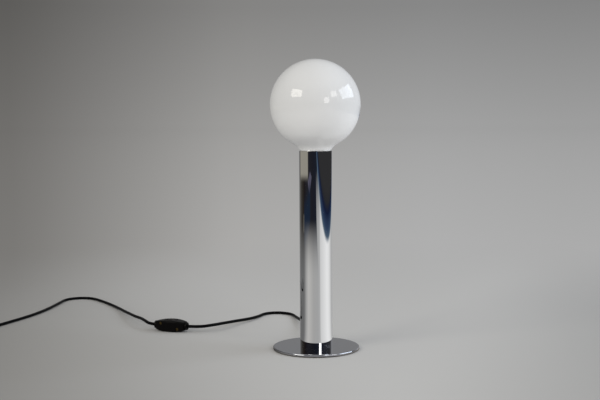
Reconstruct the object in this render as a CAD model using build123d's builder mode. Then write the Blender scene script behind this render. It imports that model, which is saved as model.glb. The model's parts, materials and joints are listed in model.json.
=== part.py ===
from build123d import *
from math import cos, dist, pi, radians, sin, sqrt, tan
import os

# Cylinder table lamp: an opal globe bulb stands in the mouth of a chromed tube on a round foot.
# Units are millimetres. The origin is the middle of the underside, +Z is up, and the lead
# leaves the back of the tube towards +Y and comes round to the left.

# Overall sizes
globe_dia = 150.0
tube_outer_dia = 54.0
tube_wall = 1.2
tube_length = 325.8
base_dia = 144.0
base_thickness = 4.5
cord_dia = 5.6

# Clearances
push_fit = 0.1
running_fit = 0.05
touch_gap = 0.3

# Felt ring under the foot
pad_thickness = 1.5
pad_recess = 0.8
pad_edge_margin = 7.0
pad_width = 26.0

# Foot cup that joins tube and base plate
cup_height = 34.0
cup_plate = 6.0
cup_wall = 4.2
boss_radius = 4.5
boss_in_wall = 1.0
foot_screw_radius = 2.0
foot_screw_head_radius = 3.9
foot_screw_length = 14.0
slot_width = 0.9
slot_depth = 0.9

# Threaded rod, its nuts and the centring disc
rod_radius = 5.0
rod_bore_radius = 3.8
rod_end_margin = 1.0
nut_across_flats = 14.0
nut_thickness = 3.0
disc_thickness = 2.5
disc_window_radius = 5.5

# Lead entry at the back of the tube
exit_above_base = 16.0
relief_wall = 2.1
relief_flange_width = 4.7
relief_flange = 3.0
relief_length = 27.0
relief_tip_wall = 0.9
relief_lip = 1.2
clamp_width = 18.0
clamp_length = 7.0
clamp_thickness = 4.0
clamp_squeeze = 2.0
clamp_screw_radius = 1.5
clamp_screw_spacing = 12.4
clamp_screw_length = 16.0
lip_room = 3.2
wire_radius = 1.1
wire_bend = 7.5
wire_offset = 1.4

# Bulb
globe_wall = 1.0
shoulder_radius = 56.0
throat_radius = 27.0
throat_gap = 0.5
throat_angle = 29.0
shoulder_angle = 40.0
flank_angle = 57.5
neck_radius = 15.2
cap_tip_depth = 50.0
cap_radius = 13.1
cap_height = 28.0
cap_sheet = 0.5
neck_in_cap = 8.0
stem_radius = 4.5
stem_height = 45.0
lead_wire_radius = 0.5
filament_half_span = 14.0

# Lampholder
insert_radius = 15.9
insert_wall = 1.9
insert_floor = 9.0
insert_above_tip = 22.0
contact_room = 4.0
holder_wall = 2.0
holder_dome = 10.0
collar_length = 8.0
disc_drop = 14.0
shell_sheet = 0.5
collar_radius = 8.0
terminal_spread = 9.0
terminal_screw_radius = 1.5

# Switch on the lead
switch_length = 64.0
switch_width = 28.0
switch_height = 21.0
switch_end_width = 17.0
switch_end_height = 15.0
switch_flat = 16.0
switch_wall = 1.8
switch_collar = 4.0
switch_collar_radius = 7.0
switch_angle = 20.0
rocker_tilt = 7.0
rocker_half_length = 10.2
rocker_width = 10.4
rocker_rise = 1.2
rocker_pin_radius = 1.25
shell_screw_radius = 1.5
shell_screw_head_radius = 2.7
shell_screw_along = 16.4
shell_screw_up = 4.8
shell_screw_reach = 5.0

# Plug
plug_length = 36.0
plug_width = 35.0
plug_tail_width = 12.0
plug_thickness = 13.7
pin_length = 19.0
pin_sleeve_length = 10.0
pin_radius = 2.0
pin_core = 1.6
pin_root = 8.0
pin_spacing = 18.6

# Put-away coil
coil_radius = 34.0
coil_gap = 0.7
coil_layer_gap = 0.6
coil_turns_below = 1.0
coil_turns_above = 0.88
coil_tail = 30.0

# Levels and radii that several pieces share
tube_radius = tube_outer_dia / 2
bore_radius = tube_radius - tube_wall
base_bottom = pad_thickness - pad_recess
base_top = base_bottom + base_thickness
rim_height = base_top + tube_length
pad_outer_radius = base_dia / 2 - pad_edge_margin
cord_radius = cord_dia / 2
relief_body_radius = cord_radius + relief_wall
relief_flange_radius = cord_radius + relief_flange_width
relief_tip_radius = cord_radius + relief_tip_wall
cup_radius = bore_radius - push_fit
cavity_radius = cup_radius - cup_wall
plate_bottom = base_top + cup_height - cup_plate
plate_top = base_top + cup_height
boss_circle = cavity_radius - boss_radius + boss_in_wall
boss_angles = [30, 150, 270]
boss_spots = [(boss_circle * cos(radians(a)), boss_circle * sin(radians(a))) for a in boss_angles]
exit_height = base_top + exit_above_base
relief_end = tube_radius + relief_length
rod_bottom = plate_bottom - nut_thickness - rod_end_margin
cap_tip = rim_height - cap_tip_depth
insert_seat = cap_tip - contact_room
insert_bottom = insert_seat - insert_floor
insert_top = cap_tip + insert_above_tip
collar_top = insert_bottom - holder_dome
holder_base = collar_top - collar_length
rod_top = collar_top + rod_end_margin
disc_bottom = holder_base - disc_drop

os.makedirs("parts", exist_ok=True)


def save(piece, name):
    """Label a finished piece and write it under its own name."""
    piece.label = name
    export_step(piece, "parts/" + name + ".step")


def turned(outline):
    """A piece turned about the lamp's axis from a closed half outline of (radius, height)."""
    with BuildPart() as body:
        with BuildSketch(Plane.XZ):
            with BuildLine():
                Polyline(*outline, close=True)
            make_face()
        revolve(axis=Axis.Z)
    return body.part


# Felt ring
pad_inner_radius = pad_outer_radius - pad_width
with BuildPart() as base_pad:
    with BuildSketch():
        Circle(pad_outer_radius)
        Circle(pad_inner_radius, mode=Mode.SUBTRACT)
    extrude(amount=pad_thickness)
save(base_pad.part, "base_pad")

# Base plate with a rounded rim, a recess for the felt and three countersunk holes
with BuildPart() as base_plate:
    with BuildSketch(Plane.XY.offset(base_bottom)):
        Circle(base_dia / 2)
    extrude(amount=base_thickness)
    rims = base_plate.edges().filter_by(GeomType.CIRCLE).sort_by(Axis.Z)
    fillet(rims[-1], base_thickness * 0.4)
    chamfer(base_plate.edges().filter_by(GeomType.CIRCLE).sort_by(Axis.Z)[0], 0.5)
    with BuildSketch(Plane.XY.offset(base_bottom)):
        Circle(pad_outer_radius)
        Circle(pad_inner_radius, mode=Mode.SUBTRACT)
    extrude(amount=pad_recess, mode=Mode.SUBTRACT)
    for spot in boss_spots:
        with Locations(Plane(origin=(*spot, base_bottom), z_dir=(0, 0, -1))):
            CounterSinkHole(
                foot_screw_radius + push_fit,
                foot_screw_head_radius + push_fit,
                counter_sink_angle=90,
            )
save(base_plate.part, "base_plate")

# Foot screws, countersunk and slotted
foot_screw_head = foot_screw_head_radius - foot_screw_radius
with BuildPart() as foot_screws:
    for spot in boss_spots:
        with Locations((*spot, base_bottom)):
            Cone(
                foot_screw_head_radius,
                foot_screw_radius,
                foot_screw_head,
                align=(Align.CENTER, Align.CENTER, Align.MIN),
            )
            Cylinder(
                foot_screw_radius,
                foot_screw_length,
                align=(Align.CENTER, Align.CENTER, Align.MIN),
            )
            Box(
                2 * foot_screw_head_radius,
                slot_width,
                2 * slot_depth,
                mode=Mode.SUBTRACT,
            )
save(foot_screws.part, "foot_screws")

# Foot cup: a casting open below, with three screw bosses, the clamp block and the lead's hole
clamp_outer = cavity_radius - relief_lip - lip_room
clamp_inner = clamp_outer - clamp_length
with BuildPart() as foot_cup:
    with BuildSketch(Plane.XY.offset(base_top)):
        Circle(cup_radius)
    extrude(amount=cup_height)
    chamfer(foot_cup.edges().filter_by(GeomType.CIRCLE).sort_by(Axis.Z)[-1], 1.0)
    with BuildSketch(Plane.XY.offset(base_top)):
        Circle(cavity_radius)
    extrude(amount=cup_height - cup_plate, mode=Mode.SUBTRACT)
    with BuildSketch(Plane.XY.offset(base_top)):
        with Locations(*boss_spots):
            Circle(boss_radius)
    extrude(amount=cup_height - cup_plate)
    with BuildSketch(Plane.XY.offset(exit_height + clamp_squeeze / 2)):
        with Locations((0, clamp_inner + clamp_length / 2)):
            Rectangle(clamp_width, clamp_length)
    extrude(amount=plate_bottom - exit_height - clamp_squeeze / 2)
    with BuildSketch(Plane.XZ):
        with Locations((0, exit_height)):
            Circle(cord_radius + running_fit)
    extrude(amount=-clamp_outer, mode=Mode.SUBTRACT)
    with BuildSketch(Plane.XZ.offset(-clamp_outer)):
        with Locations((0, exit_height)):
            Circle(relief_body_radius + push_fit)
    extrude(amount=clamp_outer - tube_radius, mode=Mode.SUBTRACT)
    with BuildSketch(Plane.XY.offset(base_top)):
        Circle(rod_radius + running_fit)
    extrude(amount=cup_height, mode=Mode.SUBTRACT)
    with BuildSketch(Plane.XY.offset(base_top)):
        with Locations(*boss_spots):
            Circle(foot_screw_radius + running_fit)
    extrude(amount=foot_screw_length, mode=Mode.SUBTRACT)
    with BuildSketch(Plane.XY.offset(exit_height)):
        with Locations((0, clamp_inner + clamp_length / 2)):
            with GridLocations(clamp_screw_spacing, 1, 2, 1):
                Circle(clamp_screw_radius + running_fit)
    extrude(amount=clamp_screw_length - clamp_thickness, mode=Mode.SUBTRACT)
save(foot_cup.part, "foot_cup")

# Column tube with a softened mouth and the lead's hole at the back
with BuildPart() as column_tube:
    with BuildSketch(Plane.XY.offset(base_top)):
        Circle(tube_radius)
        Circle(bore_radius, mode=Mode.SUBTRACT)
    extrude(amount=tube_length)
    mouth = column_tube.edges().filter_by(GeomType.CIRCLE).group_by(Axis.Z)[-1]
    fillet(mouth, tube_wall * 0.3)
    with BuildSketch(Plane.XZ.offset(-bore_radius / 2)):
        with Locations((0, exit_height)):
            Circle(relief_body_radius + push_fit)
    extrude(amount=-tube_radius, mode=Mode.SUBTRACT)
save(column_tube.part, "column_tube")

# Strain relief: a lip inside the cup, a saddle flange on the tube and a grooved, tapered tail
lead_plane = Plane(origin=(0, 0, exit_height), x_dir=(0, 1, 0), z_dir=(1, 0, 0))
relief_bore = cord_radius + running_fit
lip_end = sqrt(cavity_radius**2 - (relief_body_radius + relief_lip) ** 2) - running_fit
lip_start = clamp_outer + touch_gap
tail_start = tube_radius + relief_flange
groove_count = 5
groove_pitch = (relief_end - tail_start) / (groove_count + 1)
groove_depth = 0.7
flange_bevel = 0.8
tail_root_radius = relief_body_radius + touch_gap


def tail_radius(along):
    """Radius of the tapered tail at a distance along the lead."""
    share = (along - tail_start) / (relief_end - tail_start)
    return tail_root_radius + share * (relief_tip_radius - tail_root_radius)


tail_outline = [(tail_start, tail_root_radius)]
for index in range(groove_count):
    near = tail_start + (index + 0.75) * groove_pitch
    far = near + groove_pitch / 2
    tail_outline.append((near, tail_radius(near)))
    tail_outline.append((near, tail_radius(near) - groove_depth))
    tail_outline.append((far, tail_radius(far) - groove_depth))
    tail_outline.append((far, tail_radius(far)))
tail_outline.append((relief_end, relief_tip_radius))

with BuildPart() as strain_relief:
    with BuildSketch(lead_plane):
        with BuildLine():
            Polyline(
                (bore_radius, relief_bore),
                (bore_radius, relief_flange_radius),
                (tail_start - flange_bevel, relief_flange_radius),
                (tail_start, relief_flange_radius - flange_bevel),
                *tail_outline,
                (relief_end, relief_bore),
                close=True,
            )
        make_face()
    revolve(axis=Axis((0, 0, exit_height), (0, 1, 0)))
    with BuildSketch(Plane.XY):
        Circle(tube_radius + running_fit)
    extrude(amount=rim_height, mode=Mode.SUBTRACT)
    with BuildSketch(lead_plane):
        with BuildLine():
            Polyline(
                (lip_start, relief_bore),
                (lip_start, relief_body_radius + relief_lip),
                (lip_end, relief_body_radius + relief_lip),
                (lip_end, relief_body_radius),
                (tail_start - 1, relief_body_radius),
                (tail_start - 1, relief_bore),
                close=True,
            )
        make_face()
    revolve(axis=Axis((0, 0, exit_height), (0, 1, 0)))
save(strain_relief.part, "strain_relief")

# End of the lead's sheath inside the foot
sheath_end = clamp_inner - 1.0
with BuildPart() as lead_sheath:
    with BuildSketch(Plane.XZ.offset(-sheath_end)):
        with Locations((0, exit_height)):
            Circle(cord_radius)
    extrude(amount=sheath_end - relief_end)
save(lead_sheath.part, "lead_sheath")

# Cord clamp, a saddle that presses the sheath up against the block
clamp_top = exit_height - clamp_squeeze / 2
clamp_middle = (clamp_inner + clamp_outer) / 2
with BuildPart() as cord_clamp:
    with BuildSketch(Plane.XY.offset(clamp_top - clamp_thickness)):
        with Locations((0, clamp_middle)):
            Rectangle(clamp_width, clamp_length)
    extrude(amount=clamp_thickness)
    fillet(cord_clamp.edges().filter_by(Axis.Z), 1.5)
    with BuildSketch(Plane.XZ):
        with Locations((0, exit_height)):
            Circle(cord_radius + running_fit)
    extrude(amount=-clamp_outer - 1, mode=Mode.SUBTRACT)
    with BuildSketch(Plane.XY.offset(clamp_top)):
        with Locations((0, clamp_middle)):
            with GridLocations(clamp_screw_spacing, 1, 2, 1):
                Circle(clamp_screw_radius + running_fit)
    extrude(amount=-clamp_thickness, mode=Mode.SUBTRACT)
save(cord_clamp.part, "cord_clamp")

# Clamp screws, pan heads below the saddle
clamp_head_radius = 2.7
clamp_head_height = 1.8
with BuildPart() as clamp_screws:
    with BuildSketch(Plane.XY.offset(clamp_top - clamp_thickness - clamp_head_height)):
        with Locations((0, clamp_middle)):
            with GridLocations(clamp_screw_spacing, 1, 2, 1):
                Circle(clamp_head_radius)
    extrude(amount=clamp_head_height)
    chamfer(clamp_screws.edges().filter_by(GeomType.CIRCLE).group_by(Axis.Z)[0], 0.5)
    with BuildSketch(Plane.XY.offset(clamp_top - clamp_thickness)):
        with Locations((0, clamp_middle)):
            with GridLocations(clamp_screw_spacing, 1, 2, 1):
                Circle(clamp_screw_radius)
    extrude(amount=clamp_screw_length)
save(clamp_screws.part, "clamp_screws")

# Threaded rod, a hollow pipe that carries the lampholder and the two wires
with BuildPart() as threaded_rod:
    with BuildSketch(Plane.XY.offset(rod_bottom)):
        Circle(rod_radius)
        Circle(rod_bore_radius, mode=Mode.SUBTRACT)
    extrude(amount=rod_top - rod_bottom)
save(threaded_rod.part, "threaded_rod")

# Nuts on the rod: two lock it in the cup, two grip the disc, one locks the lampholder
nut_levels = [
    plate_bottom - nut_thickness,
    plate_top,
    disc_bottom - nut_thickness,
    disc_bottom + disc_thickness,
    holder_base - nut_thickness,
]
with BuildPart() as rod_nuts:
    for level in nut_levels:
        with BuildSketch(Plane.XY.offset(level)):
            RegularPolygon(nut_across_flats / 2, 6, major_radius=False)
            Circle(rod_radius + running_fit, mode=Mode.SUBTRACT)
        extrude(amount=nut_thickness)
save(rod_nuts.part, "rod_nuts")

# Centring disc that keeps the rod in the middle of the tube
with BuildPart() as centring_disc:
    with BuildSketch(Plane.XY.offset(disc_bottom)):
        Circle(bore_radius - push_fit)
        Circle(rod_radius + running_fit, mode=Mode.SUBTRACT)
        with PolarLocations((bore_radius + nut_across_flats / 2) / 2, 3, start_angle=90):
            Circle(disc_window_radius, mode=Mode.SUBTRACT)
    extrude(amount=disc_thickness)
save(centring_disc.part, "centring_disc")

# The two wires: out of the sheath, up the rod and out to the terminals
wire_line = 1.5
wire_end = (terminal_spread - 3.2, insert_bottom - 1.8)


def wire(side):
    """One insulated wire from the sheath's end to its terminal, side +1 or -1."""
    start = (side * wire_offset, sheath_end, exit_height)
    with BuildPart() as body:
        with BuildLine():
            FilletPolyline(
                start,
                (side * wire_offset, wire_line, exit_height),
                (side * wire_offset, wire_line, rod_top + 1.5),
                (side * wire_end[0], wire_line, wire_end[1]),
                radius=[wire_bend, 3.0],
            )
        with BuildSketch(Plane(origin=start, z_dir=(0, -1, 0))):
            Circle(wire_radius)
        sweep()
    return body.part


save(wire(1), "wire_live")
save(wire(-1), "wire_neutral")

# Lampholder cap: threaded collar and flared dome under the insert
cap_outer = insert_radius + push_fit + holder_wall
cap_top_level = insert_bottom + 11.0
dome_rise = 2.0
dome_wall = 1.0
terminal_room = 13.5
with BuildPart() as holder_cap:
    with BuildSketch(Plane.XZ):
        with BuildLine():
            Polyline(
                (rod_radius + running_fit, holder_base),
                (collar_radius, holder_base),
                (collar_radius, collar_top),
                (cap_outer, insert_bottom - dome_rise),
                (cap_outer, cap_top_level),
                (insert_radius + push_fit, cap_top_level),
                (insert_radius + push_fit, insert_bottom),
                (terminal_room, insert_bottom),
                (terminal_room, insert_bottom - dome_rise - dome_wall),
                (rod_radius + running_fit, collar_top + 0.2),
                close=True,
            )
        make_face()
    revolve(axis=Axis.Z)
save(holder_cap.part, "holder_cap")

# Ceramic insert, a cup with a thick floor that takes the terminal screws
insert_bore = insert_radius - insert_wall
with BuildPart() as holder_insert:
    with BuildSketch(Plane.XY.offset(insert_bottom)):
        Circle(insert_radius)
    extrude(amount=insert_top - insert_bottom)
    with BuildSketch(Plane.XY.offset(insert_seat)):
        Circle(insert_bore)
    extrude(amount=insert_top - insert_seat, mode=Mode.SUBTRACT)
    with BuildSketch(Plane.XY.offset(insert_bottom)):
        with GridLocations(2 * terminal_spread, 1, 2, 1):
            Circle(terminal_screw_radius + running_fit)
    extrude(amount=insert_floor - 2.0, mode=Mode.SUBTRACT)
save(holder_insert.part, "holder_insert")

# Outer skirt of the lampholder, screwed over the cap, with a lip that holds the insert down
skirt_bore = cap_outer + running_fit
skirt_outer = skirt_bore + holder_wall
skirt_bottom = insert_bottom + 2.0
skirt_top = insert_top + 2.2
skirt_edge = 1.0
skirt_lip = insert_radius - 1.3
with BuildPart() as holder_skirt:
    with BuildSketch(Plane.XZ):
        with BuildLine():
            Polyline(
                (skirt_bore, skirt_bottom),
                (skirt_outer, skirt_bottom),
                (skirt_outer, skirt_top - skirt_edge),
                (skirt_outer - skirt_edge, skirt_top),
                (skirt_lip, skirt_top),
                (skirt_lip, insert_top + running_fit),
                (insert_radius + push_fit, insert_top + running_fit),
                (insert_radius + push_fit, cap_top_level + touch_gap),
                (skirt_bore, cap_top_level + touch_gap),
                close=True,
            )
        make_face()
    revolve(axis=Axis.Z)
save(holder_skirt.part, "holder_skirt")

# Brass screw shell, the side contact
shell_outer = insert_bore - running_fit
shell_floor_hole = 8.0
with BuildPart() as screw_shell:
    with BuildSketch(Plane.XZ):
        with BuildLine():
            Polyline(
                (shell_floor_hole, insert_seat),
                (shell_outer, insert_seat),
                (shell_outer, insert_top - 1.0),
                (shell_outer - shell_sheet, insert_top - 1.0),
                (shell_outer - shell_sheet, insert_seat + shell_sheet),
                (shell_floor_hole, insert_seat + shell_sheet),
                close=True,
            )
        make_face()
    revolve(axis=Axis.Z)
save(screw_shell.part, "screw_shell")

# Centre contact, a bent brass leaf under the bulb's tip
leaf_width = 6.0
leaf_sheet = 0.6
leaf_crest = cap_tip - touch_gap
with BuildPart() as centre_contact:
    with BuildSketch(Plane.XZ.offset(-leaf_width / 2)):
        with BuildLine():
            Polyline(
                (-6.4, insert_seat),
                (-1.6, insert_seat),
                (1.2, leaf_crest - leaf_sheet),
                (2.6, leaf_crest - leaf_sheet),
                (4.6, insert_seat + 1.6),
                (5.2, insert_seat + 1.9),
                (3.0, leaf_crest),
                (0.8, leaf_crest),
                (-1.9, insert_seat + leaf_sheet),
                (-6.4, insert_seat + leaf_sheet),
                close=True,
            )
        make_face()
    extrude(amount=leaf_width)
save(centre_contact.part, "centre_contact")

# Terminal screws under the insert
terminal_head_radius = 2.6
terminal_head_height = 2.0
with BuildPart() as terminal_screws:
    with BuildSketch(Plane.XY.offset(insert_bottom - terminal_head_height)):
        with GridLocations(2 * terminal_spread, 1, 2, 1):
            Circle(terminal_head_radius)
    extrude(amount=terminal_head_height)
    with BuildSketch(Plane.XY.offset(insert_bottom)):
        with GridLocations(2 * terminal_spread, 1, 2, 1):
            Circle(terminal_screw_radius)
    extrude(amount=insert_floor - 3.0)
save(terminal_screws.part, "terminal_screws")

# Globe outline, worked out upwards from the rim: cone, concave throat, flank, shoulder, sphere
globe_radius = globe_dia / 2
throat_at = radians(throat_angle)
flank_at = radians(flank_angle)
shoulder_at = radians(shoulder_angle)
throat_spot = Vector(bore_radius - throat_gap, rim_height)
throat_centre = throat_spot + Vector(cos(throat_at), -sin(throat_at)) * throat_radius
flank_foot = throat_centre - Vector(cos(flank_at), -sin(flank_at)) * throat_radius
shoulder_reach = shoulder_radius * (cos(shoulder_at) - cos(flank_at))
flank_reach = globe_radius * cos(shoulder_at) - flank_foot.X - shoulder_reach
flank_top = flank_foot + Vector(1, 1 / tan(flank_at)) * flank_reach
shoulder_centre = flank_top - Vector(cos(flank_at), -sin(flank_at)) * shoulder_radius
sphere_height = shoulder_centre.Y + (globe_radius - shoulder_radius) * sin(shoulder_at)
sphere_centre = Vector(0, sphere_height)
cap_top = cap_tip + cap_height
neck_fit = cap_radius - cap_sheet - push_fit
neck_clearance = 7.0


def arc_between(centre, radius, first, last):
    """Arc about a centre between two angles from the radius axis, in radians."""
    spots = []
    for angle in (first, (first + last) / 2, last):
        spots.append(centre + Vector(cos(angle), sin(angle)) * radius)
    return ThreePointArc(*spots)


def globe_half(inset, foot):
    """Closed half outline of the globe and neck, drawn inset by the glass's thickness."""
    cone = throat_spot + Vector(-cos(throat_at), sin(throat_at)) * inset
    cone_drop = (cone.X - neck_radius + inset) / tan(throat_at)
    neck_level = max(cone.Y - cone_drop, insert_top + neck_clearance)
    neck_top = Vector(neck_radius - inset, neck_level)
    throat = arc_between(throat_centre, throat_radius + inset, pi - throat_at, pi - flank_at)
    shoulder = arc_between(shoulder_centre, shoulder_radius - inset, -flank_at, -shoulder_at)
    sphere = arc_between(sphere_centre, globe_radius - inset, -shoulder_at, pi / 2)
    Line(throat @ 1, shoulder @ 0)
    Polyline(
        sphere @ 1,
        (0, foot),
        (neck_fit - inset, foot),
        (neck_fit - inset, cap_top + 0.5),
        neck_top,
        throat @ 0,
    )


# Opal glass, open at the foot of its neck
glass_foot = cap_top - neck_in_cap
with BuildPart() as bulb_glass:
    with BuildSketch(Plane.XZ):
        with BuildLine():
            globe_half(0, glass_foot)
        make_face()
    revolve(axis=Axis.Z)
    with BuildSketch(Plane.XZ):
        with BuildLine():
            globe_half(globe_wall, glass_foot - 1)
        make_face()
    revolve(axis=Axis.Z, mode=Mode.SUBTRACT)
save(bulb_glass.part, "bulb_glass")

# Screw cap of the bulb, sheet metal with a collar round the neck
cap_floor = cap_tip + 3.2
cap_floor_hole = 9.0
cap_bore = cap_radius - cap_sheet
cap_flare = 0.8
bulb_cap = turned(
    [
        (cap_floor_hole, cap_floor),
        (cap_radius - 1, cap_floor),
        (cap_radius, cap_floor + 1),
        (cap_radius, cap_top - 2),
        (cap_radius + cap_flare, cap_top - 1.2),
        (cap_radius + cap_flare, cap_top),
        (cap_bore + cap_flare, cap_top),
        (cap_bore + cap_flare, cap_top - 1.0),
        (cap_bore, cap_top - 1.8),
        (cap_bore, cap_floor + 1.2),
        (cap_bore - 0.7, cap_floor + cap_sheet),
        (cap_floor_hole, cap_floor + cap_sheet),
    ]
)
save(bulb_cap, "bulb_cap")

# Black glass under the cap, with the hole for the live lead-in wire
tip_height = 1.2
wire_side = 1.5
insulator_top = cap_floor + 2.3
with BuildPart() as cap_insulator:
    with BuildSketch(Plane.XZ):
        with BuildLine():
            Polyline(
                (0, cap_tip + tip_height),
                (5.2, cap_tip + tip_height),
                (cap_floor_hole, cap_floor),
                (cap_floor_hole, cap_floor + cap_sheet),
                (cap_bore - 1.1, cap_floor + cap_sheet),
                (cap_bore - 1.1, insulator_top),
                (0, insulator_top),
                close=True,
            )
        make_face()
    revolve(axis=Axis.Z)
    with BuildSketch(Plane.XY.offset(cap_tip)):
        with Locations((wire_side, 0)):
            Circle(lead_wire_radius + running_fit)
    extrude(amount=10, mode=Mode.SUBTRACT)
save(cap_insulator.part, "cap_insulator")

# Tip contact
tip_contact = turned(
    [
        (0, cap_tip),
        (3.8, cap_tip),
        (4.8, cap_tip + 0.6),
        (4.8, cap_tip + tip_height),
        (0, cap_tip + tip_height),
    ]
)
save(tip_contact, "tip_contact")

# Glass stem inside the neck, flared to meet it, with two wire holes through its pinch
stem_flare = neck_fit - globe_wall - 0.1
stem_top = glass_foot + stem_height
stem_wall = 1.2
stem_waist = glass_foot + 15.0
pinch_height = 14.0
with BuildPart() as bulb_stem:
    with BuildSketch(Plane.XZ):
        with BuildLine():
            Polyline(
                (stem_flare - 0.9, glass_foot),
                (stem_flare, glass_foot),
                (stem_flare, glass_foot + 1),
                (stem_radius + 0.5, glass_foot + 10),
                (stem_radius, stem_waist),
                (stem_radius, stem_top - 4),
                (stem_radius - 1.5, stem_top),
                (0, stem_top),
                (0, stem_top - pinch_height),
                (stem_radius - stem_wall, stem_top - pinch_height),
                (stem_radius - stem_wall, stem_waist - 0.4),
                (stem_radius + 0.5 - stem_wall, glass_foot + 9.4),
                close=True,
            )
        make_face()
    revolve(axis=Axis.Z)
    with BuildSketch(Plane.XY.offset(stem_top)):
        with GridLocations(2 * wire_side, 1, 2, 1):
            Circle(lead_wire_radius + running_fit)
    extrude(amount=-pinch_height - 1, mode=Mode.SUBTRACT)
save(bulb_stem.part, "bulb_stem")

# Lead-in wires: live from the tip contact, neutral from the cap's wall, both up to the filament
filament_foot = sphere_height - 6.0
wire_knee = stem_top + 4.0
with BuildPart() as lead_in_wires:
    with BuildLine():
        FilletPolyline(
            (wire_side, 0, cap_tip + tip_height),
            (wire_side, 0, wire_knee),
            (filament_half_span, 0, filament_foot),
            radius=3,
        )
    with BuildSketch(Plane.XY.offset(cap_tip + tip_height)):
        with Locations((wire_side, 0)):
            Circle(lead_wire_radius)
    sweep()
    with BuildLine():
        FilletPolyline(
            (-cap_bore + 0.1, 0, insulator_top + 3),
            (-wire_side, 0, insulator_top + 3),
            (-wire_side, 0, wire_knee),
            (-filament_half_span, 0, filament_foot),
            radius=3,
        )
    with BuildSketch(Plane.YZ.offset(-cap_bore + 0.1)):
        with Locations((0, insulator_top + 3)):
            Circle(lead_wire_radius)
    sweep()
save(lead_in_wires.part, "lead_in_wires")

# Filament, a loop that carries on from the two wires
wire_lean = Vector(filament_half_span - wire_side, 0, filament_foot - wire_knee).normalized()
filament_start = (filament_half_span, 0, filament_foot)
with BuildPart() as filament:
    with BuildLine():
        TangentArc(
            filament_start,
            (-filament_half_span, 0, filament_foot),
            tangent=wire_lean,
        )
    with BuildSketch(Plane(origin=filament_start, z_dir=wire_lean)):
        Circle(lead_wire_radius * 0.8)
    sweep()
save(filament.part, "filament")

# Switch on the lead: its place, its axis towards the lamp and the way across
switch_spot = Vector(-261.5, 156.0, switch_height / 2)
switch_axis = Vector(cos(radians(switch_angle)), -sin(radians(switch_angle)), 0)
switch_across = Vector(sin(radians(switch_angle)), cos(radians(switch_angle)), 0)
switch_half = switch_length / 2
side_plane = Plane(origin=switch_spot, x_dir=switch_axis, z_dir=-switch_across)
plan_plane = Plane(origin=switch_spot, x_dir=switch_axis, z_dir=(0, 0, 1))
barrel_half = switch_half - switch_collar


def switch_point(along, across, up):
    """A point given along the switch, across it to the back, and up from its middle."""
    return switch_spot + switch_axis * along + switch_across * across + Vector(0, 0, up)


def barrel(trim):
    """The switch's barrel, smaller by the trim on every side."""
    reach = barrel_half - trim
    middle = switch_height / 2 - trim
    tip = switch_end_height / 2 - trim
    flat = switch_flat / 2
    wide = switch_width / 2 - trim
    narrow = switch_end_width / 2 - trim
    with BuildPart() as body:
        with BuildSketch(side_plane):
            with BuildLine():
                over = ThreePointArc((-reach, tip), (0, middle), (reach, tip))
                left = TangentArc((-flat, -middle), (-reach, -tip), tangent=(-1, 0))
                right = TangentArc((flat, -middle), (reach, -tip), tangent=(1, 0))
                Line(left @ 0, right @ 0)
                Line(over @ 0, left @ 1)
                Line(over @ 1, right @ 1)
            make_face()
        extrude(amount=switch_width, both=True)
        with BuildSketch(plan_plane):
            with BuildLine():
                ThreePointArc((-reach, narrow), (0, wide), (reach, narrow))
                ThreePointArc((-reach, -narrow), (0, -wide), (reach, -narrow))
                Line((-reach, narrow), (-reach, -narrow))
                Line((reach, narrow), (reach, -narrow))
            make_face()
        extrude(amount=switch_height, both=True, mode=Mode.INTERSECT)
        long_edges = body.edges().filter_by(lambda edge: abs((edge % 0.5).dot(switch_axis)) > 0.8)
        fillet(long_edges, 3.5 - trim)
    return body.part


# The whole switch case before it is parted: barrel, collars, grips, bosses and openings
window_half_length = rocker_half_length + 2.0
window_half_width = rocker_width / 2 + touch_gap
grip_at = barrel_half - switch_wall - 2.5
grip_thickness = 2.0
screw_boss_radius = 3.4
pin_boss_radius = 3.0
contact_level = -6.8
contact_inner = 6.5
contact_outer = 12.5
contact_across = (0.8, 4.8)
contact_screw_radius = 1.2
contact_head_radius = 2.2
contact_head_height = 1.6
contact_screw_length = 2.0
contact_sheet = 0.6
screw_spots = [(-shell_screw_along, shell_screw_up), (shell_screw_along, -shell_screw_up)]
pin_reach = switch_width / 2 - 4.0
head_level = switch_width / 2 - shell_screw_reach
lead_hole_depth = switch_collar + switch_wall + 4
outer_barrel = barrel(0)
inner_barrel = barrel(switch_wall)

with BuildPart() as case_fittings:
    with BuildSketch(side_plane):
        with Locations(*screw_spots):
            Circle(screw_boss_radius)
    extrude(amount=switch_width, both=True)
    with BuildSketch(side_plane.offset(window_half_width)):
        Circle(pin_boss_radius)
    extrude(amount=switch_width)
    with BuildSketch(side_plane.offset(-window_half_width)):
        Circle(pin_boss_radius)
    extrude(amount=-switch_width)
    with BuildSketch(side_plane):
        with Locations((grip_at, 0), (-grip_at, 0)):
            Rectangle(grip_thickness, switch_height)
    extrude(amount=switch_width, both=True)
    with BuildSketch(side_plane.offset(-contact_across[0] + 0.4)):
        for side in (1, -1):
            with Locations((side * (contact_inner + contact_outer) / 2, contact_level - 3)):
                Rectangle(contact_outer - contact_inner, 6)
    extrude(amount=-switch_width)
    add(inner_barrel, mode=Mode.INTERSECT)

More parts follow.
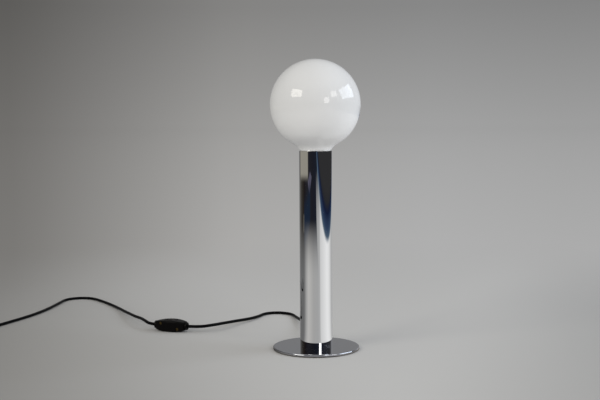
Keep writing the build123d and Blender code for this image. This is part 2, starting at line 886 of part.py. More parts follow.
with BuildPart() as switch_case:
    add(outer_barrel)
    with BuildSketch(Plane(origin=switch_point(-switch_half, 0, 0), z_dir=switch_axis)):
        Circle(switch_collar_radius)
    extrude(amount=switch_length)
    add(inner_barrel, mode=Mode.SUBTRACT)
    add(case_fittings.part)
    with BuildSketch(Plane(origin=switch_point(-switch_half, 0, 0), z_dir=switch_axis)):
        Circle(cord_radius + running_fit)
    extrude(amount=lead_hole_depth, mode=Mode.SUBTRACT)
    with BuildSketch(Plane(origin=switch_point(switch_half, 0, 0), z_dir=-switch_axis)):
        Circle(cord_radius + running_fit)
    extrude(amount=lead_hole_depth, mode=Mode.SUBTRACT)
    with BuildSketch(plan_plane.offset(pin_boss_radius)):
        Rectangle(2 * window_half_length, 2 * window_half_width)
    extrude(amount=switch_height, mode=Mode.SUBTRACT)
    with BuildSketch(side_plane):
        Circle(rocker_pin_radius + running_fit)
    extrude(amount=pin_reach, both=True, mode=Mode.SUBTRACT)
    with BuildSketch(side_plane.offset(-shell_screw_reach)):
        with Locations(*screw_spots):
            Circle(shell_screw_radius + running_fit)
    extrude(amount=switch_width, mode=Mode.SUBTRACT)
    with BuildSketch(side_plane.offset(head_level)):
        with Locations(*screw_spots):
            Circle(shell_screw_head_radius + push_fit)
    extrude(amount=2 * shell_screw_reach, mode=Mode.SUBTRACT)
    with BuildSketch(plan_plane.offset(contact_level)):
        middle_across = (contact_across[0] + contact_across[1]) / 2
        middle_along = (contact_inner + contact_outer) / 2
        with Locations((middle_along, middle_across), (-middle_along, middle_across)):
            Circle(contact_screw_radius + running_fit)
    extrude(amount=contact_sheet - contact_screw_length - push_fit, mode=Mode.SUBTRACT)

for side, name in ((Keep.TOP, "switch_front_shell"), (Keep.BOTTOM, "switch_back_shell")):
    with BuildPart() as half_case:
        add(switch_case.part)
        split(bisect_by=side_plane, keep=side)
    save(half_case.part, name)

# Shell screws, brass, with slotted heads sunk in the front shell
head_height = 1.8
with BuildPart() as shell_screws:
    with BuildSketch(side_plane.offset(head_level)):
        with Locations(*screw_spots):
            Circle(shell_screw_head_radius)
    extrude(amount=head_height)
    with BuildSketch(side_plane.offset(-shell_screw_reach + running_fit)):
        with Locations(*screw_spots):
            Circle(shell_screw_radius)
    extrude(amount=head_level + shell_screw_reach - running_fit)
    with BuildSketch(side_plane.offset(head_level + head_height - slot_depth)):
        with Locations(*screw_spots):
            Rectangle(2 * shell_screw_head_radius, slot_width, rotation=35)
    extrude(amount=slot_depth, mode=Mode.SUBTRACT)
save(shell_screws.part, "shell_screws")

# Rocker, tilted to its on side, with a toe below the pin
rocker_top = switch_height / 2 + rocker_rise
with BuildPart() as switch_rocker:
    with BuildSketch(side_plane.offset(-rocker_width / 2)):
        with BuildLine():
            face = ThreePointArc(
                (-rocker_half_length, rocker_top - 2.7),
                (0, rocker_top),
                (rocker_half_length, rocker_top - 2.7),
            )
            Polyline(
                face @ 1,
                (rocker_half_length, rocker_top - 4.1),
                (4.0, 3.0),
                (2.2, -4.2),
                (-2.2, -4.2),
                (-4.0, 3.0),
                (-rocker_half_length, rocker_top - 4.1),
                face @ 0,
            )
        make_face()
        Circle(rocker_pin_radius + running_fit, mode=Mode.SUBTRACT)
    extrude(amount=rocker_width)
    across_edges = switch_rocker.edges().filter_by(lambda edge: abs((edge % 0.5).Z) < 0.01)
    crown = across_edges.group_by(Axis.Z)[-1]
    fillet(crown, 0.8)
turn_axis = Axis(switch_spot, switch_across)
save(switch_rocker.part.rotate(turn_axis, rocker_tilt), "switch_rocker")

# Rocker pin
with BuildPart() as rocker_pin:
    with BuildSketch(side_plane.offset(-pin_reach + touch_gap)):
        Circle(rocker_pin_radius)
    extrude(amount=2 * (pin_reach - touch_gap))
save(rocker_pin.part, "rocker_pin")

# Contact leaf and fixed contact, closed as the lamp stands
crest = -4.75
foot = contact_level + contact_sheet
leaf_side = side_plane.offset(-contact_across[1])
with BuildPart() as contact_leaf:
    with BuildSketch(leaf_side):
        with BuildLine():
            Polyline(
                (-contact_outer, contact_level),
                (-contact_outer, foot),
                (-contact_inner, foot),
                (-1.5, crest),
                (1.5, crest),
                (3.6, foot + contact_sheet),
                (6.0, foot + contact_sheet),
                (6.0, foot),
                (3.6, foot),
                (1.3, crest - contact_sheet),
                (-1.3, crest - contact_sheet),
                (-contact_inner + 0.2, contact_level),
                close=True,
            )
        make_face()
    extrude(amount=contact_across[1] - contact_across[0])
    with BuildSketch(plan_plane.offset(contact_level)):
        with Locations((-middle_along, middle_across)):
            Circle(contact_screw_radius + running_fit)
    extrude(amount=contact_sheet, mode=Mode.SUBTRACT)
save(contact_leaf.part, "contact_leaf")

with BuildPart() as fixed_contact:
    with BuildSketch(leaf_side):
        with Locations(((contact_outer + 3.6) / 2, contact_level + contact_sheet / 2)):
            Rectangle(contact_outer - 3.6, contact_sheet)
    extrude(amount=contact_across[1] - contact_across[0])
    with BuildSketch(plan_plane.offset(contact_level)):
        with Locations((middle_along, middle_across)):
            Circle(contact_screw_radius + running_fit)
    extrude(amount=contact_sheet, mode=Mode.SUBTRACT)
save(fixed_contact.part, "fixed_contact")

# Contact screws
with BuildPart() as contact_screws:
    with BuildSketch(plan_plane.offset(foot)):
        with Locations((middle_along, middle_across), (-middle_along, middle_across)):
            Circle(contact_head_radius)
    extrude(amount=contact_head_height)
    with BuildSketch(plan_plane.offset(foot)):
        with Locations((middle_along, middle_across), (-middle_along, middle_across)):
            Circle(contact_screw_radius)
    extrude(amount=-contact_screw_length)
save(contact_screws.part, "contact_screws")

# Sheath ends inside the switch
sheath_inside = 22.0
with BuildPart() as switch_sheaths:
    for side in (1, -1):
        start = switch_point(side * switch_half, 0, 0)
        with BuildSketch(Plane(origin=start, z_dir=-side * switch_axis)):
            Circle(cord_radius)
        extrude(amount=switch_half - sheath_inside)
save(switch_sheaths.part, "switch_sheaths")

# Wires inside the switch: neutral straight through, live from each side to its contact screw
neutral_route = [
    (sheath_inside, -wire_offset, 0.0),
    (19.5, -wire_offset, 0.0),
    (13.0, -2.4, 0.2),
    (9.0, -3.0, -6.0),
    (-9.0, -3.0, -6.0),
    (-13.0, -2.4, -1.0),
    (-19.5, -wire_offset, 0.0),
    (-sheath_inside, -wire_offset, 0.0),
]
live_lamp_route = [
    (sheath_inside, wire_offset, 0.0),
    (19.5, wire_offset, 0.0),
    (13.0, 2.8, 0.2),
    (10.4, 2.8, -3.5),
]
live_plug_route = [
    (-sheath_inside, wire_offset, 0.0),
    (-19.5, wire_offset, 0.0),
    (-13.0, 2.8, -1.0),
    (-10.4, 2.8, -3.5),
]
with BuildPart() as switch_wires:
    for route in (neutral_route, live_lamp_route, live_plug_route):
        spots = [switch_point(*spot) for spot in route]
        with BuildLine():
            FilletPolyline(*spots, radius=1.6)
        with BuildSketch(Plane(origin=spots[0], z_dir=spots[1] - spots[0])):
            Circle(wire_radius)
        sweep()
save(switch_wires.part, "switch_wires")

# Lead from the lamp's strain relief to the switch, then from the switch to the coil.
# It eases down from each end and lies on the table between them.
lamp_side_route = [
    (0, relief_end, exit_height),
    (0, relief_end + 28, exit_height),
    (-4, 118, 18),
    (-12, 156, 13),
    (-22, 194, 8.5),
    (-31, 230, 5.2),
    (-37, 266, 3.2),
    (-41, 300, cord_radius),
    (-66, 317, cord_radius),
    (-95, 308, cord_radius),
    (-108, 275, 3.2),
    (-125, 242, 4.8),
    (-147, 210, 7.4),
    (-166.5, 174.5, 10.4),
    (-183.5, 147, 12.4),
    tuple(switch_point(switch_half + 24, 0, 0)),
    tuple(switch_point(switch_half, 0, 0)),
]
plug_side_route = [
    tuple(switch_point(-switch_half, 0, 0)),
    tuple(switch_point(-switch_half - 15.5, 0, 0)),
    (-319, 185, 11.3),
    (-329, 212, 11),
    (-343, 252, 9.3),
    (-360, 293, 7),
    (-378, 334, 4.8),
    (-396, 376, 3.4),
    (-418, 418, cord_radius),
    (-443, 459, cord_radius),
    (-474, 502, cord_radius),
    (-504, 507, cord_radius),
    (-528, 489, cord_radius),
    (-532, 448, cord_radius),
    (-536, 402, cord_radius),
    (-543, 352, cord_radius),
    (-555, 302, cord_radius),
    (-571, 256, cord_radius),
    (-589, 210, cord_radius),
    (-604, 168, cord_radius),
]


def bend_radii(route):
    """Bend radius at each corner of a route, from the shorter run beside it and the turn."""
    radii = []
    for before, corner, after in zip(route, route[1:], route[2:]):
        arriving = Vector(*corner) - Vector(*before)
        leaving = Vector(*after) - Vector(*corner)
        turn = radians(arriving.get_angle(leaving))
        radii.append(0.45 * min(arriving.length, leaving.length) / tan(turn / 2))
    return radii


def lead_along(route, name):
    """A length of the lead along a route, saved under its name."""
    radii = bend_radii(route)
    start = Vector(*route[0])
    with BuildPart() as lead:
        with BuildLine() as path:
            FilletPolyline(*route, radius=radii)
        with BuildSketch(Plane(origin=start, z_dir=Vector(*route[1]) - start)):
            Circle(cord_radius)
        sweep()
    length = path.wire().length
    fill = lead.part.volume / (pi * cord_radius**2 * length)
    print(name, "length", round(length, 1), "least bend", round(min(radii), 1), "fill", round(fill, 4))
    save(lead.part, name)
    return length


lamp_side_length = lead_along(lamp_side_route, "cord_lamp_side")
plug_side_length = lead_along(plug_side_route, "cord_plug_side")

# Put-away coil: a layer that spirals in, half a turn that climbs, a layer that spirals out on top
coil_entry = Vector(*plug_side_route[-1])
entry_run = (coil_entry - Vector(*plug_side_route[-2])).normalized()
entry_right = Vector(entry_run.Y, -entry_run.X, 0)
coil_foot = coil_entry + entry_run * cord_dia
coil_centre = coil_foot + entry_right * coil_radius
coil_pitch = cord_dia + coil_gap
coil_rise = cord_dia + coil_layer_gap
climb_turns = 0.5
coil_turns = coil_turns_below + climb_turns + coil_turns_above


def coil_spot(turn):
    """A point on the coil's middle line after so many turns."""
    below = min(turn, coil_turns_below)
    share = min(max(turn - coil_turns_below, 0), climb_turns) / climb_turns
    above = max(turn - coil_turns_below - climb_turns, 0)
    radius = coil_radius - coil_pitch * (below + climb_turns * share * (1 - share) - above)
    height = coil_rise * (share - sin(2 * pi * share) / (2 * pi))
    angle = 2 * pi * turn
    outward = entry_run * sin(angle) - entry_right * cos(angle)
    return coil_centre + outward * radius + Vector(0, 0, height)


def coil_heading(turn):
    """Direction of travel after so many turns."""
    return (coil_spot(turn + 0.001) - coil_spot(turn - 0.001)).normalized()


def smooth_pair(start, heading, end, onward):
    """Two arcs that join two points and keep the direction given at each."""
    span = end - start
    along = span.dot(heading + onward)
    spare = 2 * (1 - heading.dot(onward)) * span.dot(span)
    reach = span.dot(span) / (along + sqrt(along**2 + spare))
    near = start + heading * reach
    far = end - onward * reach
    middle = (near + far) * 0.5
    TangentArc(start, middle, tangent=heading)
    TangentArc(middle, end, tangent=(far - near).normalized())


quarter_count = int(coil_turns * 4)
turn_marks = [index / 4 for index in range(quarter_count + 1)] + [coil_turns]
coil_last = coil_spot(coil_turns)
last_heading = coil_heading(coil_turns)
level_heading = Vector(last_heading.X, last_heading.Y, 0).normalized()
plug_drop = Vector(0, 0, plug_thickness / 2 - coil_last.Z)
tail_end = coil_last + level_heading * coil_tail + plug_drop
plug_spot = tail_end + level_heading * cord_dia

with BuildPart() as cord_coil:
    with BuildLine() as coil_path:
        Line(coil_entry, coil_foot)
        here = coil_foot
        heading = entry_run
        for mark in turn_marks[1:]:
            there = coil_spot(mark)
            onward = level_heading if mark == coil_turns else coil_heading(mark)
            smooth_pair(here, heading, there, onward)
            here = there
            heading = onward
        smooth_pair(here, heading, tail_end, level_heading)
        Line(tail_end, plug_spot)
    with BuildSketch(Plane(origin=coil_entry, z_dir=entry_run)):
        Circle(cord_radius)
    sweep()
coil_wire = coil_path.wire()
coil_length = coil_wire.length
coil_fill = cord_coil.part.volume / (pi * cord_radius**2 * coil_length)
step_count = 360
coil_points = [tuple(coil_wire.position_at(index / step_count)) for index in range(step_count + 1)]
least_gap = coil_radius
for index in range(step_count):
    for other in range(index + 24, step_count + 1):
        least_gap = min(least_gap, dist(coil_points[index], coil_points[other]) - cord_dia)
print("cord_coil length", round(coil_length, 1), "fill", round(coil_fill, 4))
print("least gap between the coil's turns", round(least_gap, 2))
save(cord_coil.part, "cord_coil")
inside_length = relief_end - sheath_end
print("lead in all", round(lamp_side_length + plug_side_length + coil_length + inside_length))

# Plug, flat and six-sided, lying beside the coil
plug_plane = Plane(origin=plug_spot, x_dir=level_heading, z_dir=(0, 0, 1))
plug_end_plane = Plane(origin=plug_spot, x_dir=(0, 0, 1), z_dir=level_heading)
tail_sleeve = 9.0
tail_sleeve_radius = 4.6
grip_start = 6.0
grip_end = plug_length * 0.65
plug_half_width = plug_width / 2
plug_half_thickness = plug_thickness / 2
side_thickness = 2.6
with BuildPart() as plug_body:
    with BuildSketch(plug_end_plane.offset(grip_start)):
        Polygon(
            (plug_half_thickness, -plug_half_width * 0.55),
            (plug_half_thickness, plug_half_width * 0.55),
            (side_thickness, plug_half_width),
            (-side_thickness, plug_half_width),
            (-plug_half_thickness, plug_half_width * 0.55),
            (-plug_half_thickness, -plug_half_width * 0.55),
            (-side_thickness, -plug_half_width),
            (side_thickness, -plug_half_width),
            align=None,
        )
    extrude(amount=plug_length - grip_start)
    with BuildSketch(plug_plane):
        Polygon(
            (grip_start, plug_tail_width / 2),
            (grip_end, plug_half_width),
            (plug_length, plug_half_width - 1.0),
            (plug_length, -plug_half_width + 1.0),
            (grip_end, -plug_half_width),
            (grip_start, -plug_tail_width / 2),
            align=None,
        )
    extrude(amount=plug_thickness, both=True, mode=Mode.INTERSECT)
    front = plug_body.faces().sort_by(Axis(plug_spot, level_heading))[-1]
    fillet(front.edges(), 0.8)
    with BuildSketch(plug_end_plane):
        Circle(tail_sleeve_radius)
    extrude(amount=tail_sleeve)
    with BuildSketch(plug_end_plane.offset(plug_length)):
        with Locations((0, pin_spacing / 2), (0, -pin_spacing / 2)):
            Circle(pin_core)
    extrude(amount=-pin_root, mode=Mode.SUBTRACT)
save(plug_body.part, "plug_body")

# Plug pins with rounded tips, and the sleeve on each pin's root
with BuildPart() as plug_pins:
    with BuildSketch(plug_end_plane.offset(plug_length - pin_root)):
        with Locations((0, pin_spacing / 2), (0, -pin_spacing / 2)):
            Circle(pin_core)
    extrude(amount=pin_root + pin_sleeve_length)
    with BuildSketch(plug_end_plane.offset(plug_length + pin_sleeve_length)):
        with Locations((0, pin_spacing / 2), (0, -pin_spacing / 2)):
            Circle(pin_radius)
    extrude(amount=pin_length - pin_sleeve_length)
    tips = plug_pins.faces().filter_by(GeomType.PLANE).sort_by_distance(plug_spot)[-2:]
    fillet(tips.edges(), pin_radius * 0.6)
save(plug_pins.part, "plug_pins")

with BuildPart() as pin_sleeves:
    with BuildSketch(plug_end_plane.offset(plug_length)):
        with Locations((0, pin_spacing / 2), (0, -pin_spacing / 2)):
            Circle(pin_radius - 0.1)
            Circle(pin_core, mode=Mode.SUBTRACT)
    extrude(amount=pin_sleeve_length)
save(pin_sleeves.part, "pin_sleeves")
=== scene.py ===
# %% [markdown]
# # Cylinder table lamp
#
# A round opal bulb stands in the mouth of a slim polished tube on a flat round foot. The
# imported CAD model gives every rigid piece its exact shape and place. This script gives those
# pieces their finishes, remakes the flexible lead as one smooth line for each stretch, adds
# the rolled threads and grip ribs that are too fine for the CAD, and lights the lamp so that
# its mirror finish has something to show.

# %% Load the frame
import json
import math

import bmesh
import bpy
from mathutils import Matrix, Vector


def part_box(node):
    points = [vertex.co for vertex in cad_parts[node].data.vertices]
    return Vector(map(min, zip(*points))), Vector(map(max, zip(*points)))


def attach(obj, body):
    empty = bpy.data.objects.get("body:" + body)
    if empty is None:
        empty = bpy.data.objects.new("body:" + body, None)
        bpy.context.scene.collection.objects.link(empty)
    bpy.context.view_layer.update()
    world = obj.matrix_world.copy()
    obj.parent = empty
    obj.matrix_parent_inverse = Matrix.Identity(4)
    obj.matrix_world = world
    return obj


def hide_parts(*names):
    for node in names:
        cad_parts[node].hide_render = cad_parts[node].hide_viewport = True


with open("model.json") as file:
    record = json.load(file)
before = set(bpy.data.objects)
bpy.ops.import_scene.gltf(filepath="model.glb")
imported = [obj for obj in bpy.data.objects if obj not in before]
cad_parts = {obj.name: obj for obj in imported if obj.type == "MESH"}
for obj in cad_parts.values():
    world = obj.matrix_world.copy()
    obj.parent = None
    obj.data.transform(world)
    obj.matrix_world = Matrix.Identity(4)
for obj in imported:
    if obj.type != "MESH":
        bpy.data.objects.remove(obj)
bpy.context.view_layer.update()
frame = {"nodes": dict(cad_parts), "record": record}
nodes = frame["nodes"]
scene = bpy.context.scene
scene.view_settings.view_transform = "Standard"
print("nodes in the frame:", len(nodes))

# %% [markdown]
# ## Camera
#
# The picture was taken from about 1.8 metres away, a little above the middle of the lamp and
# tipped slightly down. The place and the lens were fitted to the outlines of globe, tube and
# foot, so they are written here as plain numbers in metres, degrees and millimetres of lens.

# %% Camera
camera_spot = Vector((-0.02514, -1.72013, 0.3760))
camera_down = math.radians(4.210)
camera_roll = math.radians(-0.330)
camera_lens = 62.47
sensor_width = 36.0


def add_camera():
    """Make the camera and put it where the picture was taken from."""
    data = bpy.data.cameras.new("view")
    data.lens = camera_lens
    data.sensor_width = sensor_width
    camera = bpy.data.objects.new("view", data)
    scene.collection.objects.link(camera)
    level = Matrix.Rotation(math.radians(90) - camera_down, 4, "X")
    roll = Matrix.Rotation(-camera_roll, 4, "Y")
    camera.matrix_world = Matrix.Translation(camera_spot) @ roll @ level
    scene.camera = camera


add_camera()
print("camera distance from the lamp:", round(camera_spot.length, 3))

# %% [markdown]
# ## Lead
#
# A lead is a soft, round cable of fixed length. It could be a swept mesh, but a NURBS curve
# with a round bevel keeps its line smooth with very few points and stays easy to change. The
# points below are the ones the CAD route uses, with a few moved by less than a centimetre to
# follow the picture. The lead leaves the lamp straight through the rubber bush, eases down to
# the table, rises to the switch, and goes on to the coil, which is put away outside the
# picture with the plug beside it.

# %% Lead: sizes, exit and switch
lead_diameter = 0.0056
lead_radius = lead_diameter / 2
straight_exit = 5 * lead_diameter
bush_low, bush_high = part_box("strain_relief")
lead_exit = Vector((0.0, bush_high.y, (bush_low.z + bush_high.z) / 2))
switch_low, switch_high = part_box("switch_sheaths")
switch_middle = (switch_low + switch_high) / 2
switch_turn = math.radians(20)
switch_axis = Vector((math.cos(switch_turn), -math.sin(switch_turn), 0))
switch_half = 0.032
lamp_side_stub = 0.024
plug_side_stub = 0.013
on_table = lead_radius
print("the lead leaves the lamp at:", [round(place, 4) for place in lead_exit])

# %% Lead: the route's points
lamp_side_points = [
    tuple(lead_exit),
    (0, lead_exit.y + straight_exit, lead_exit.z),
    (-0.004, 0.118, 0.018),
    (-0.012, 0.156, 0.013),
    (-0.0195, 0.194, 0.0085),
    (-0.027, 0.230, 0.0058),
    (-0.0345, 0.266, 0.0032),
    (-0.043, 0.302, on_table),
    (-0.0675, 0.320, on_table),
    (-0.096, 0.311, on_table),
    (-0.108, 0.276, 0.0032),
    (-0.125, 0.242, 0.0048),
    (-0.147, 0.210, 0.0074),
    (-0.1665, 0.1745, 0.0104),
    (-0.1835, 0.147, 0.0124),
    tuple(switch_middle + switch_axis * (switch_half + lamp_side_stub)),
    tuple(switch_middle + switch_axis * switch_half),
]
plug_side_points = [
    tuple(switch_middle - switch_axis * switch_half),
    tuple(switch_middle - switch_axis * (switch_half + plug_side_stub)),
    (-0.3155, 0.194, 0.0122),
    (-0.328, 0.2235, 0.0114),
    (-0.343, 0.252, 0.0093),
    (-0.360, 0.293, 0.007),
    (-0.378, 0.334, 0.0048),
    (-0.396, 0.376, 0.0034),
    (-0.418, 0.418, on_table),
    (-0.443, 0.459, on_table),
    (-0.474, 0.502, on_table),
    (-0.504, 0.507, on_table),
    (-0.528, 0.489, on_table),
    (-0.532, 0.448, on_table),
    (-0.536, 0.402, on_table),
    (-0.543, 0.352, on_table),
    (-0.555, 0.302, on_table),
    (-0.571, 0.256, on_table),
    (-0.589, 0.210, on_table),
    (-0.604, 0.168, on_table),
]
print("points by hand:", len(lamp_side_points), "and", len(plug_side_points))

# %% [markdown]
# ### Coil
#
# The rest of the lead lies in two layers: one that spirals in on the table, half a turn that
# climbs, and one that spirals out on top. One formula gives the radius and height for any
# number of turns, and sixteen points a turn are plenty for a smooth line.

# %% Coil: sizes and place
coil_radius = 0.034
coil_pitch = lead_diameter + 0.0007
coil_rise = lead_diameter + 0.0006
turns_below = 1.0
turns_climb = 0.5
turns_above = 0.88
coil_turns = turns_below + turns_climb + turns_above
coil_steps = 16
coil_tail = 0.030
tail_drop = (0.35, 0.7)
small_turn = 0.002
plug_half_thickness = 0.00685

coil_entry = Vector(plug_side_points[-1])
entry_run = (coil_entry - Vector(plug_side_points[-2])).normalized()
entry_right = Vector((entry_run.y, -entry_run.x, 0))
coil_foot = coil_entry + entry_run * lead_diameter
coil_centre = coil_foot + entry_right * coil_radius
print("turns of the coil:", coil_turns)


# %% Coil: points from one formula
def coil_spot(turn):
    """A point on the coil's middle line after so many turns."""
    below = min(turn, turns_below)
    share = min(max(turn - turns_below, 0), turns_climb) / turns_climb
    above = max(turn - turns_below - turns_climb, 0)
    inward = below + turns_climb * share * (1 - share) - above
    radius = coil_radius - coil_pitch * inward
    height = coil_rise * (share - math.sin(2 * math.pi * share) / (2 * math.pi))
    angle = 2 * math.pi * turn
    outward = entry_run * math.sin(angle) - entry_right * math.cos(angle)
    return coil_centre + outward * radius + Vector((0, 0, height))


def coil_points():
    """The coil's points, then the run down to the plug."""
    count = round(coil_turns * coil_steps)
    points = [coil_spot(coil_turns * step / count) for step in range(1, count + 1)]
    last = points[-1]
    heading = last - coil_spot(coil_turns - small_turn)
    heading = Vector((heading.x, heading.y, 0)).normalized()
    down = Vector((0, 0, plug_half_thickness - last.z))
    points.append(last + heading * coil_tail * tail_drop[0])
    points.append(last + heading * coil_tail * tail_drop[1] + down)
    points.append(last + heading * (coil_tail + lead_diameter) + down)
    return [tuple(point) for point in points]


plug_side_points.append(tuple(coil_foot))
plug_side_points.extend(coil_points())
print("points on the plug side:", len(plug_side_points))


# %% Lead: the two curves
def add_lead(name, points):
    """One smooth round line through control points, which carry its radius."""
    curve = bpy.data.curves.new(name, "CURVE")
    curve.dimensions = "3D"
    curve.bevel_depth = 1.0
    curve.bevel_resolution = 5
    curve.resolution_u = 8
    curve.use_fill_caps = True
    spline = curve.splines.new("NURBS")
    spline.points.add(len(points) - 1)
    for point, spot in zip(spline.points, points):
        point.co = (*spot, 1.0)
        point.radius = lead_radius
    spline.use_endpoint_u = True
    spline.order_u = 3
    lead = bpy.data.objects.new(name, curve)
    scene.collection.objects.link(lead)
    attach(lead, "stand")
    return lead


lead_to_switch = add_lead("lead_to_switch", lamp_side_points)
lead_to_plug = add_lead("lead_to_plug", plug_side_points)
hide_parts("cord_lamp_side")
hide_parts("cord_plug_side", "cord_coil")
print("stretches of lead:", lead_to_switch.name, lead_to_plug.name)

# %% [markdown]
# ## Helpers for node trees
#
# Shapes that repeat and all the finishes are made of node trees. A tree in a script is easier
# to read when each common step is one line: a product, a smooth step, a blend of two colours.
# A helper makes the node, links or sets its inputs, and gives back the node or its output.
# The first ones serve both geometry and shader trees.

# %% Helpers: nodes, their inputs and their values
def feed(tree, socket, value):
    """Link an input to another node's output, or set it to a plain value."""
    if isinstance(value, bpy.types.NodeSocket):
        tree.links.new(value, socket)
    else:
        socket.default_value = value


def linked(tree, kind, *values, named=None, **settings):
    """A node with its settings, its inputs fed in their order or by their names."""
    node = tree.nodes.new(kind)
    for key, value in settings.items():
        setattr(node, key, value)
    for socket, value in zip(node.inputs, values):
        feed(tree, socket, value)
    for label, value in (named or {}).items():
        feed(tree, node.inputs[label], value)
    return node


def tree_socket(tree, name, kind, default=None, in_out="INPUT"):
    """A named input or output of a tree, with its value to start from."""
    socket = tree.interface.new_socket(name=name, in_out=in_out, socket_type="NodeSocket" + kind)
    if default is not None:
        socket.default_value = default


def show_sockets(tree):
    """Print the names of a tree's inputs and outputs."""
    print(tree.name + ":", ", ".join(socket.name for socket in tree.interface.items_tree))


# %% Helpers: sums, products and steps
def math_node(tree, operation, *values):
    """The output of a Math node, fed by sockets or plain numbers."""
    return linked(tree, "ShaderNodeMath", *values, operation=operation).outputs[0]


def plus(tree, first, second):
    """The sum of two values."""
    return math_node(tree, "ADD", first, second)


def minus(tree, first, second):
    """The difference of two values."""
    return math_node(tree, "SUBTRACT", first, second)


def times(tree, first, *others):
    """The product of two or more values."""
    for other in others:
        first = math_node(tree, "MULTIPLY", first, other)
    return first


def span(tree, value, low, high, start=0.0, end=1.0, kind="LINEAR"):
    """A value that runs from start to end as another one runs from low to high."""
    node = linked(tree, "ShaderNodeMapRange", value, low, high, start, end, interpolation_type=kind)
    return node.outputs["Result"]


def fade(tree, value, low, high):
    """A smooth step from 0 at low to 1 at high."""
    return span(tree, value, low, high, kind="SMOOTHSTEP")


# %% Helpers: vectors
def parts_of(tree, vector):
    """The x, y and z of a vector."""
    return list(linked(tree, "ShaderNodeSeparateXYZ", vector).outputs)


def vector_from(tree, *parts):
    """A vector from its parts, where a part that is left out is 0."""
    return linked(tree, "ShaderNodeCombineXYZ", *parts).outputs[0]


def length_of(tree, vector):
    """The length of a vector."""
    return linked(tree, "ShaderNodeVectorMath", vector, operation="LENGTH").outputs["Value"]


# %% [markdown]
# ## Rolled threads
#
# The screw cap of the bulb and the brass shell that takes it are thin sheet with a thread
# rolled into it. The CAD leaves them plain. Cutting a thread with a boolean would be slow and
# rough, so each is turned first as a plain thin shell with many rings, and a Geometry Nodes
# tree then draws every point in towards the axis by a cosine that climbs as it goes round.
# Both pieces use the same tree and the same pitch, so the crest of one faces the root of the
# other.

# %% Turned shells: an outline spun about the lamp's axis
MM = 0.001
ring_steps = 96
ring_spacing = 0.35 * MM


def dense_outline(outline):
    """A closed outline of (radius, height) with extra points up its long walls."""
    dense = []
    for here, there in zip(outline, outline[1:] + outline[:1]):
        dense.append(here)
        count = int(abs(there[1] - here[1]) / ring_spacing)
        for step in range(1, count):
            share = step / count
            dense.append(tuple(a + (b - a) * share for a, b in zip(here, there)))
    return dense


def turned_mesh(name, outline):
    """A closed shell: the outline's points copied round the axis and joined by faces."""
    shell = bmesh.new()
    rings = []
    for step in range(ring_steps):
        angle = 2 * math.pi * step / ring_steps
        across = Vector((math.cos(angle), math.sin(angle), 0))
        rings.append([shell.verts.new(across * r + Vector((0, 0, z))) for r, z in outline])
    for ring, following in zip(rings, rings[1:] + rings[:1]):
        for index in range(len(outline)):
            after = (index + 1) % len(outline)
            shell.faces.new((ring[index], following[index], following[after], ring[after]))
    bmesh.ops.recalc_face_normals(shell, faces=shell.faces)
    mesh = bpy.data.meshes.new(name)
    shell.to_mesh(mesh)
    shell.free()
    print(name, "faces:", len(mesh.polygons))
    return mesh


# %% Geometry Nodes: how a tree starts, ends and is used
def geometry_tree(name, inputs):
    """A geometry tree with named inputs, given as (name, kind, value)."""
    tree = bpy.data.node_groups.new(name, "GeometryNodeTree")
    tree_socket(tree, "Geometry", "Geometry")
    for label, kind, value in inputs:
        tree_socket(tree, label, kind, value)
    tree_socket(tree, "Material", "Material")
    tree_socket(tree, "Geometry", "Geometry", in_out="OUTPUT")
    return tree, tree.nodes.new("NodeGroupInput").outputs


def finish_tree(tree, geometry, material):
    """End a tree in Realize Instances and Set Material."""
    real = linked(tree, "GeometryNodeRealizeInstances", geometry).outputs[0]
    paint = linked(tree, "GeometryNodeSetMaterial", real, named={"Material": material})
    linked(tree, "NodeGroupOutput", paint.outputs[0])


def through_tree(name, mesh, tree, values, body):
    """Run a mesh through a geometry tree and keep the result as a plain mesh piece."""
    start = bpy.data.objects.new(name + "_start", mesh)
    scene.collection.objects.link(start)
    modifier = start.modifiers.new("tree", "NODES")
    modifier.node_group = tree
    for socket in tree.interface.items_tree:
        if socket.in_out == "INPUT" and socket.name in values:
            modifier[socket.identifier] = values[socket.name]
    graph = bpy.context.evaluated_depsgraph_get()
    made = bpy.data.meshes.new_from_object(start.evaluated_get(graph), depsgraph=graph)
    bpy.data.objects.remove(start)
    made.name = name
    for face in made.polygons:
        face.use_smooth = True
    piece = bpy.data.objects.new(name, made)
    scene.collection.objects.link(piece)
    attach(piece, body)
    print(name, "faces:", len(made.polygons))
    return piece


# %% Geometry Nodes: a thread rolled into a shell
def rolled_thread_tree():
    """A tree that draws a turned shell in along a helix, between two heights."""
    tree, given = geometry_tree("rolled_thread", [
        ("Pitch", "Float", 3.6 * MM), ("Depth", "Float", 0.6 * MM), ("Low", "Float", 0.0),
        ("High", "Float", 20.0 * MM), ("Run Out", "Float", 1.5 * MM),
    ])
    x, y, z = parts_of(tree, tree.nodes.new("GeometryNodeInputPosition").outputs[0])
    bearing = math_node(tree, "ARCTAN2", y, x)
    climb = times(tree, math_node(tree, "DIVIDE", z, given["Pitch"]), 2 * math.pi)
    wave = math_node(tree, "COSINE", minus(tree, climb, bearing))
    inward = times(tree, minus(tree, 1.0, wave), 0.5)
    above = fade(tree, minus(tree, z, given["Low"]), 0.0, given["Run Out"])
    below = fade(tree, minus(tree, given["High"], z), 0.0, given["Run Out"])
    drop = times(tree, above, below, inward, given["Depth"], -1.0)
    outward = linked(tree, "ShaderNodeVectorMath", vector_from(tree, x, y), operation="NORMALIZE")
    shift = linked(tree, "ShaderNodeVectorMath", outward.outputs[0], operation="SCALE",
                   named={"Scale": drop})
    moved = linked(tree, "GeometryNodeSetPosition", given["Geometry"],
                   named={"Offset": shift.outputs[0]})
    finish_tree(tree, moved.outputs[0], given["Material"])
    return tree


rolled_thread = rolled_thread_tree()
show_sockets(rolled_thread)

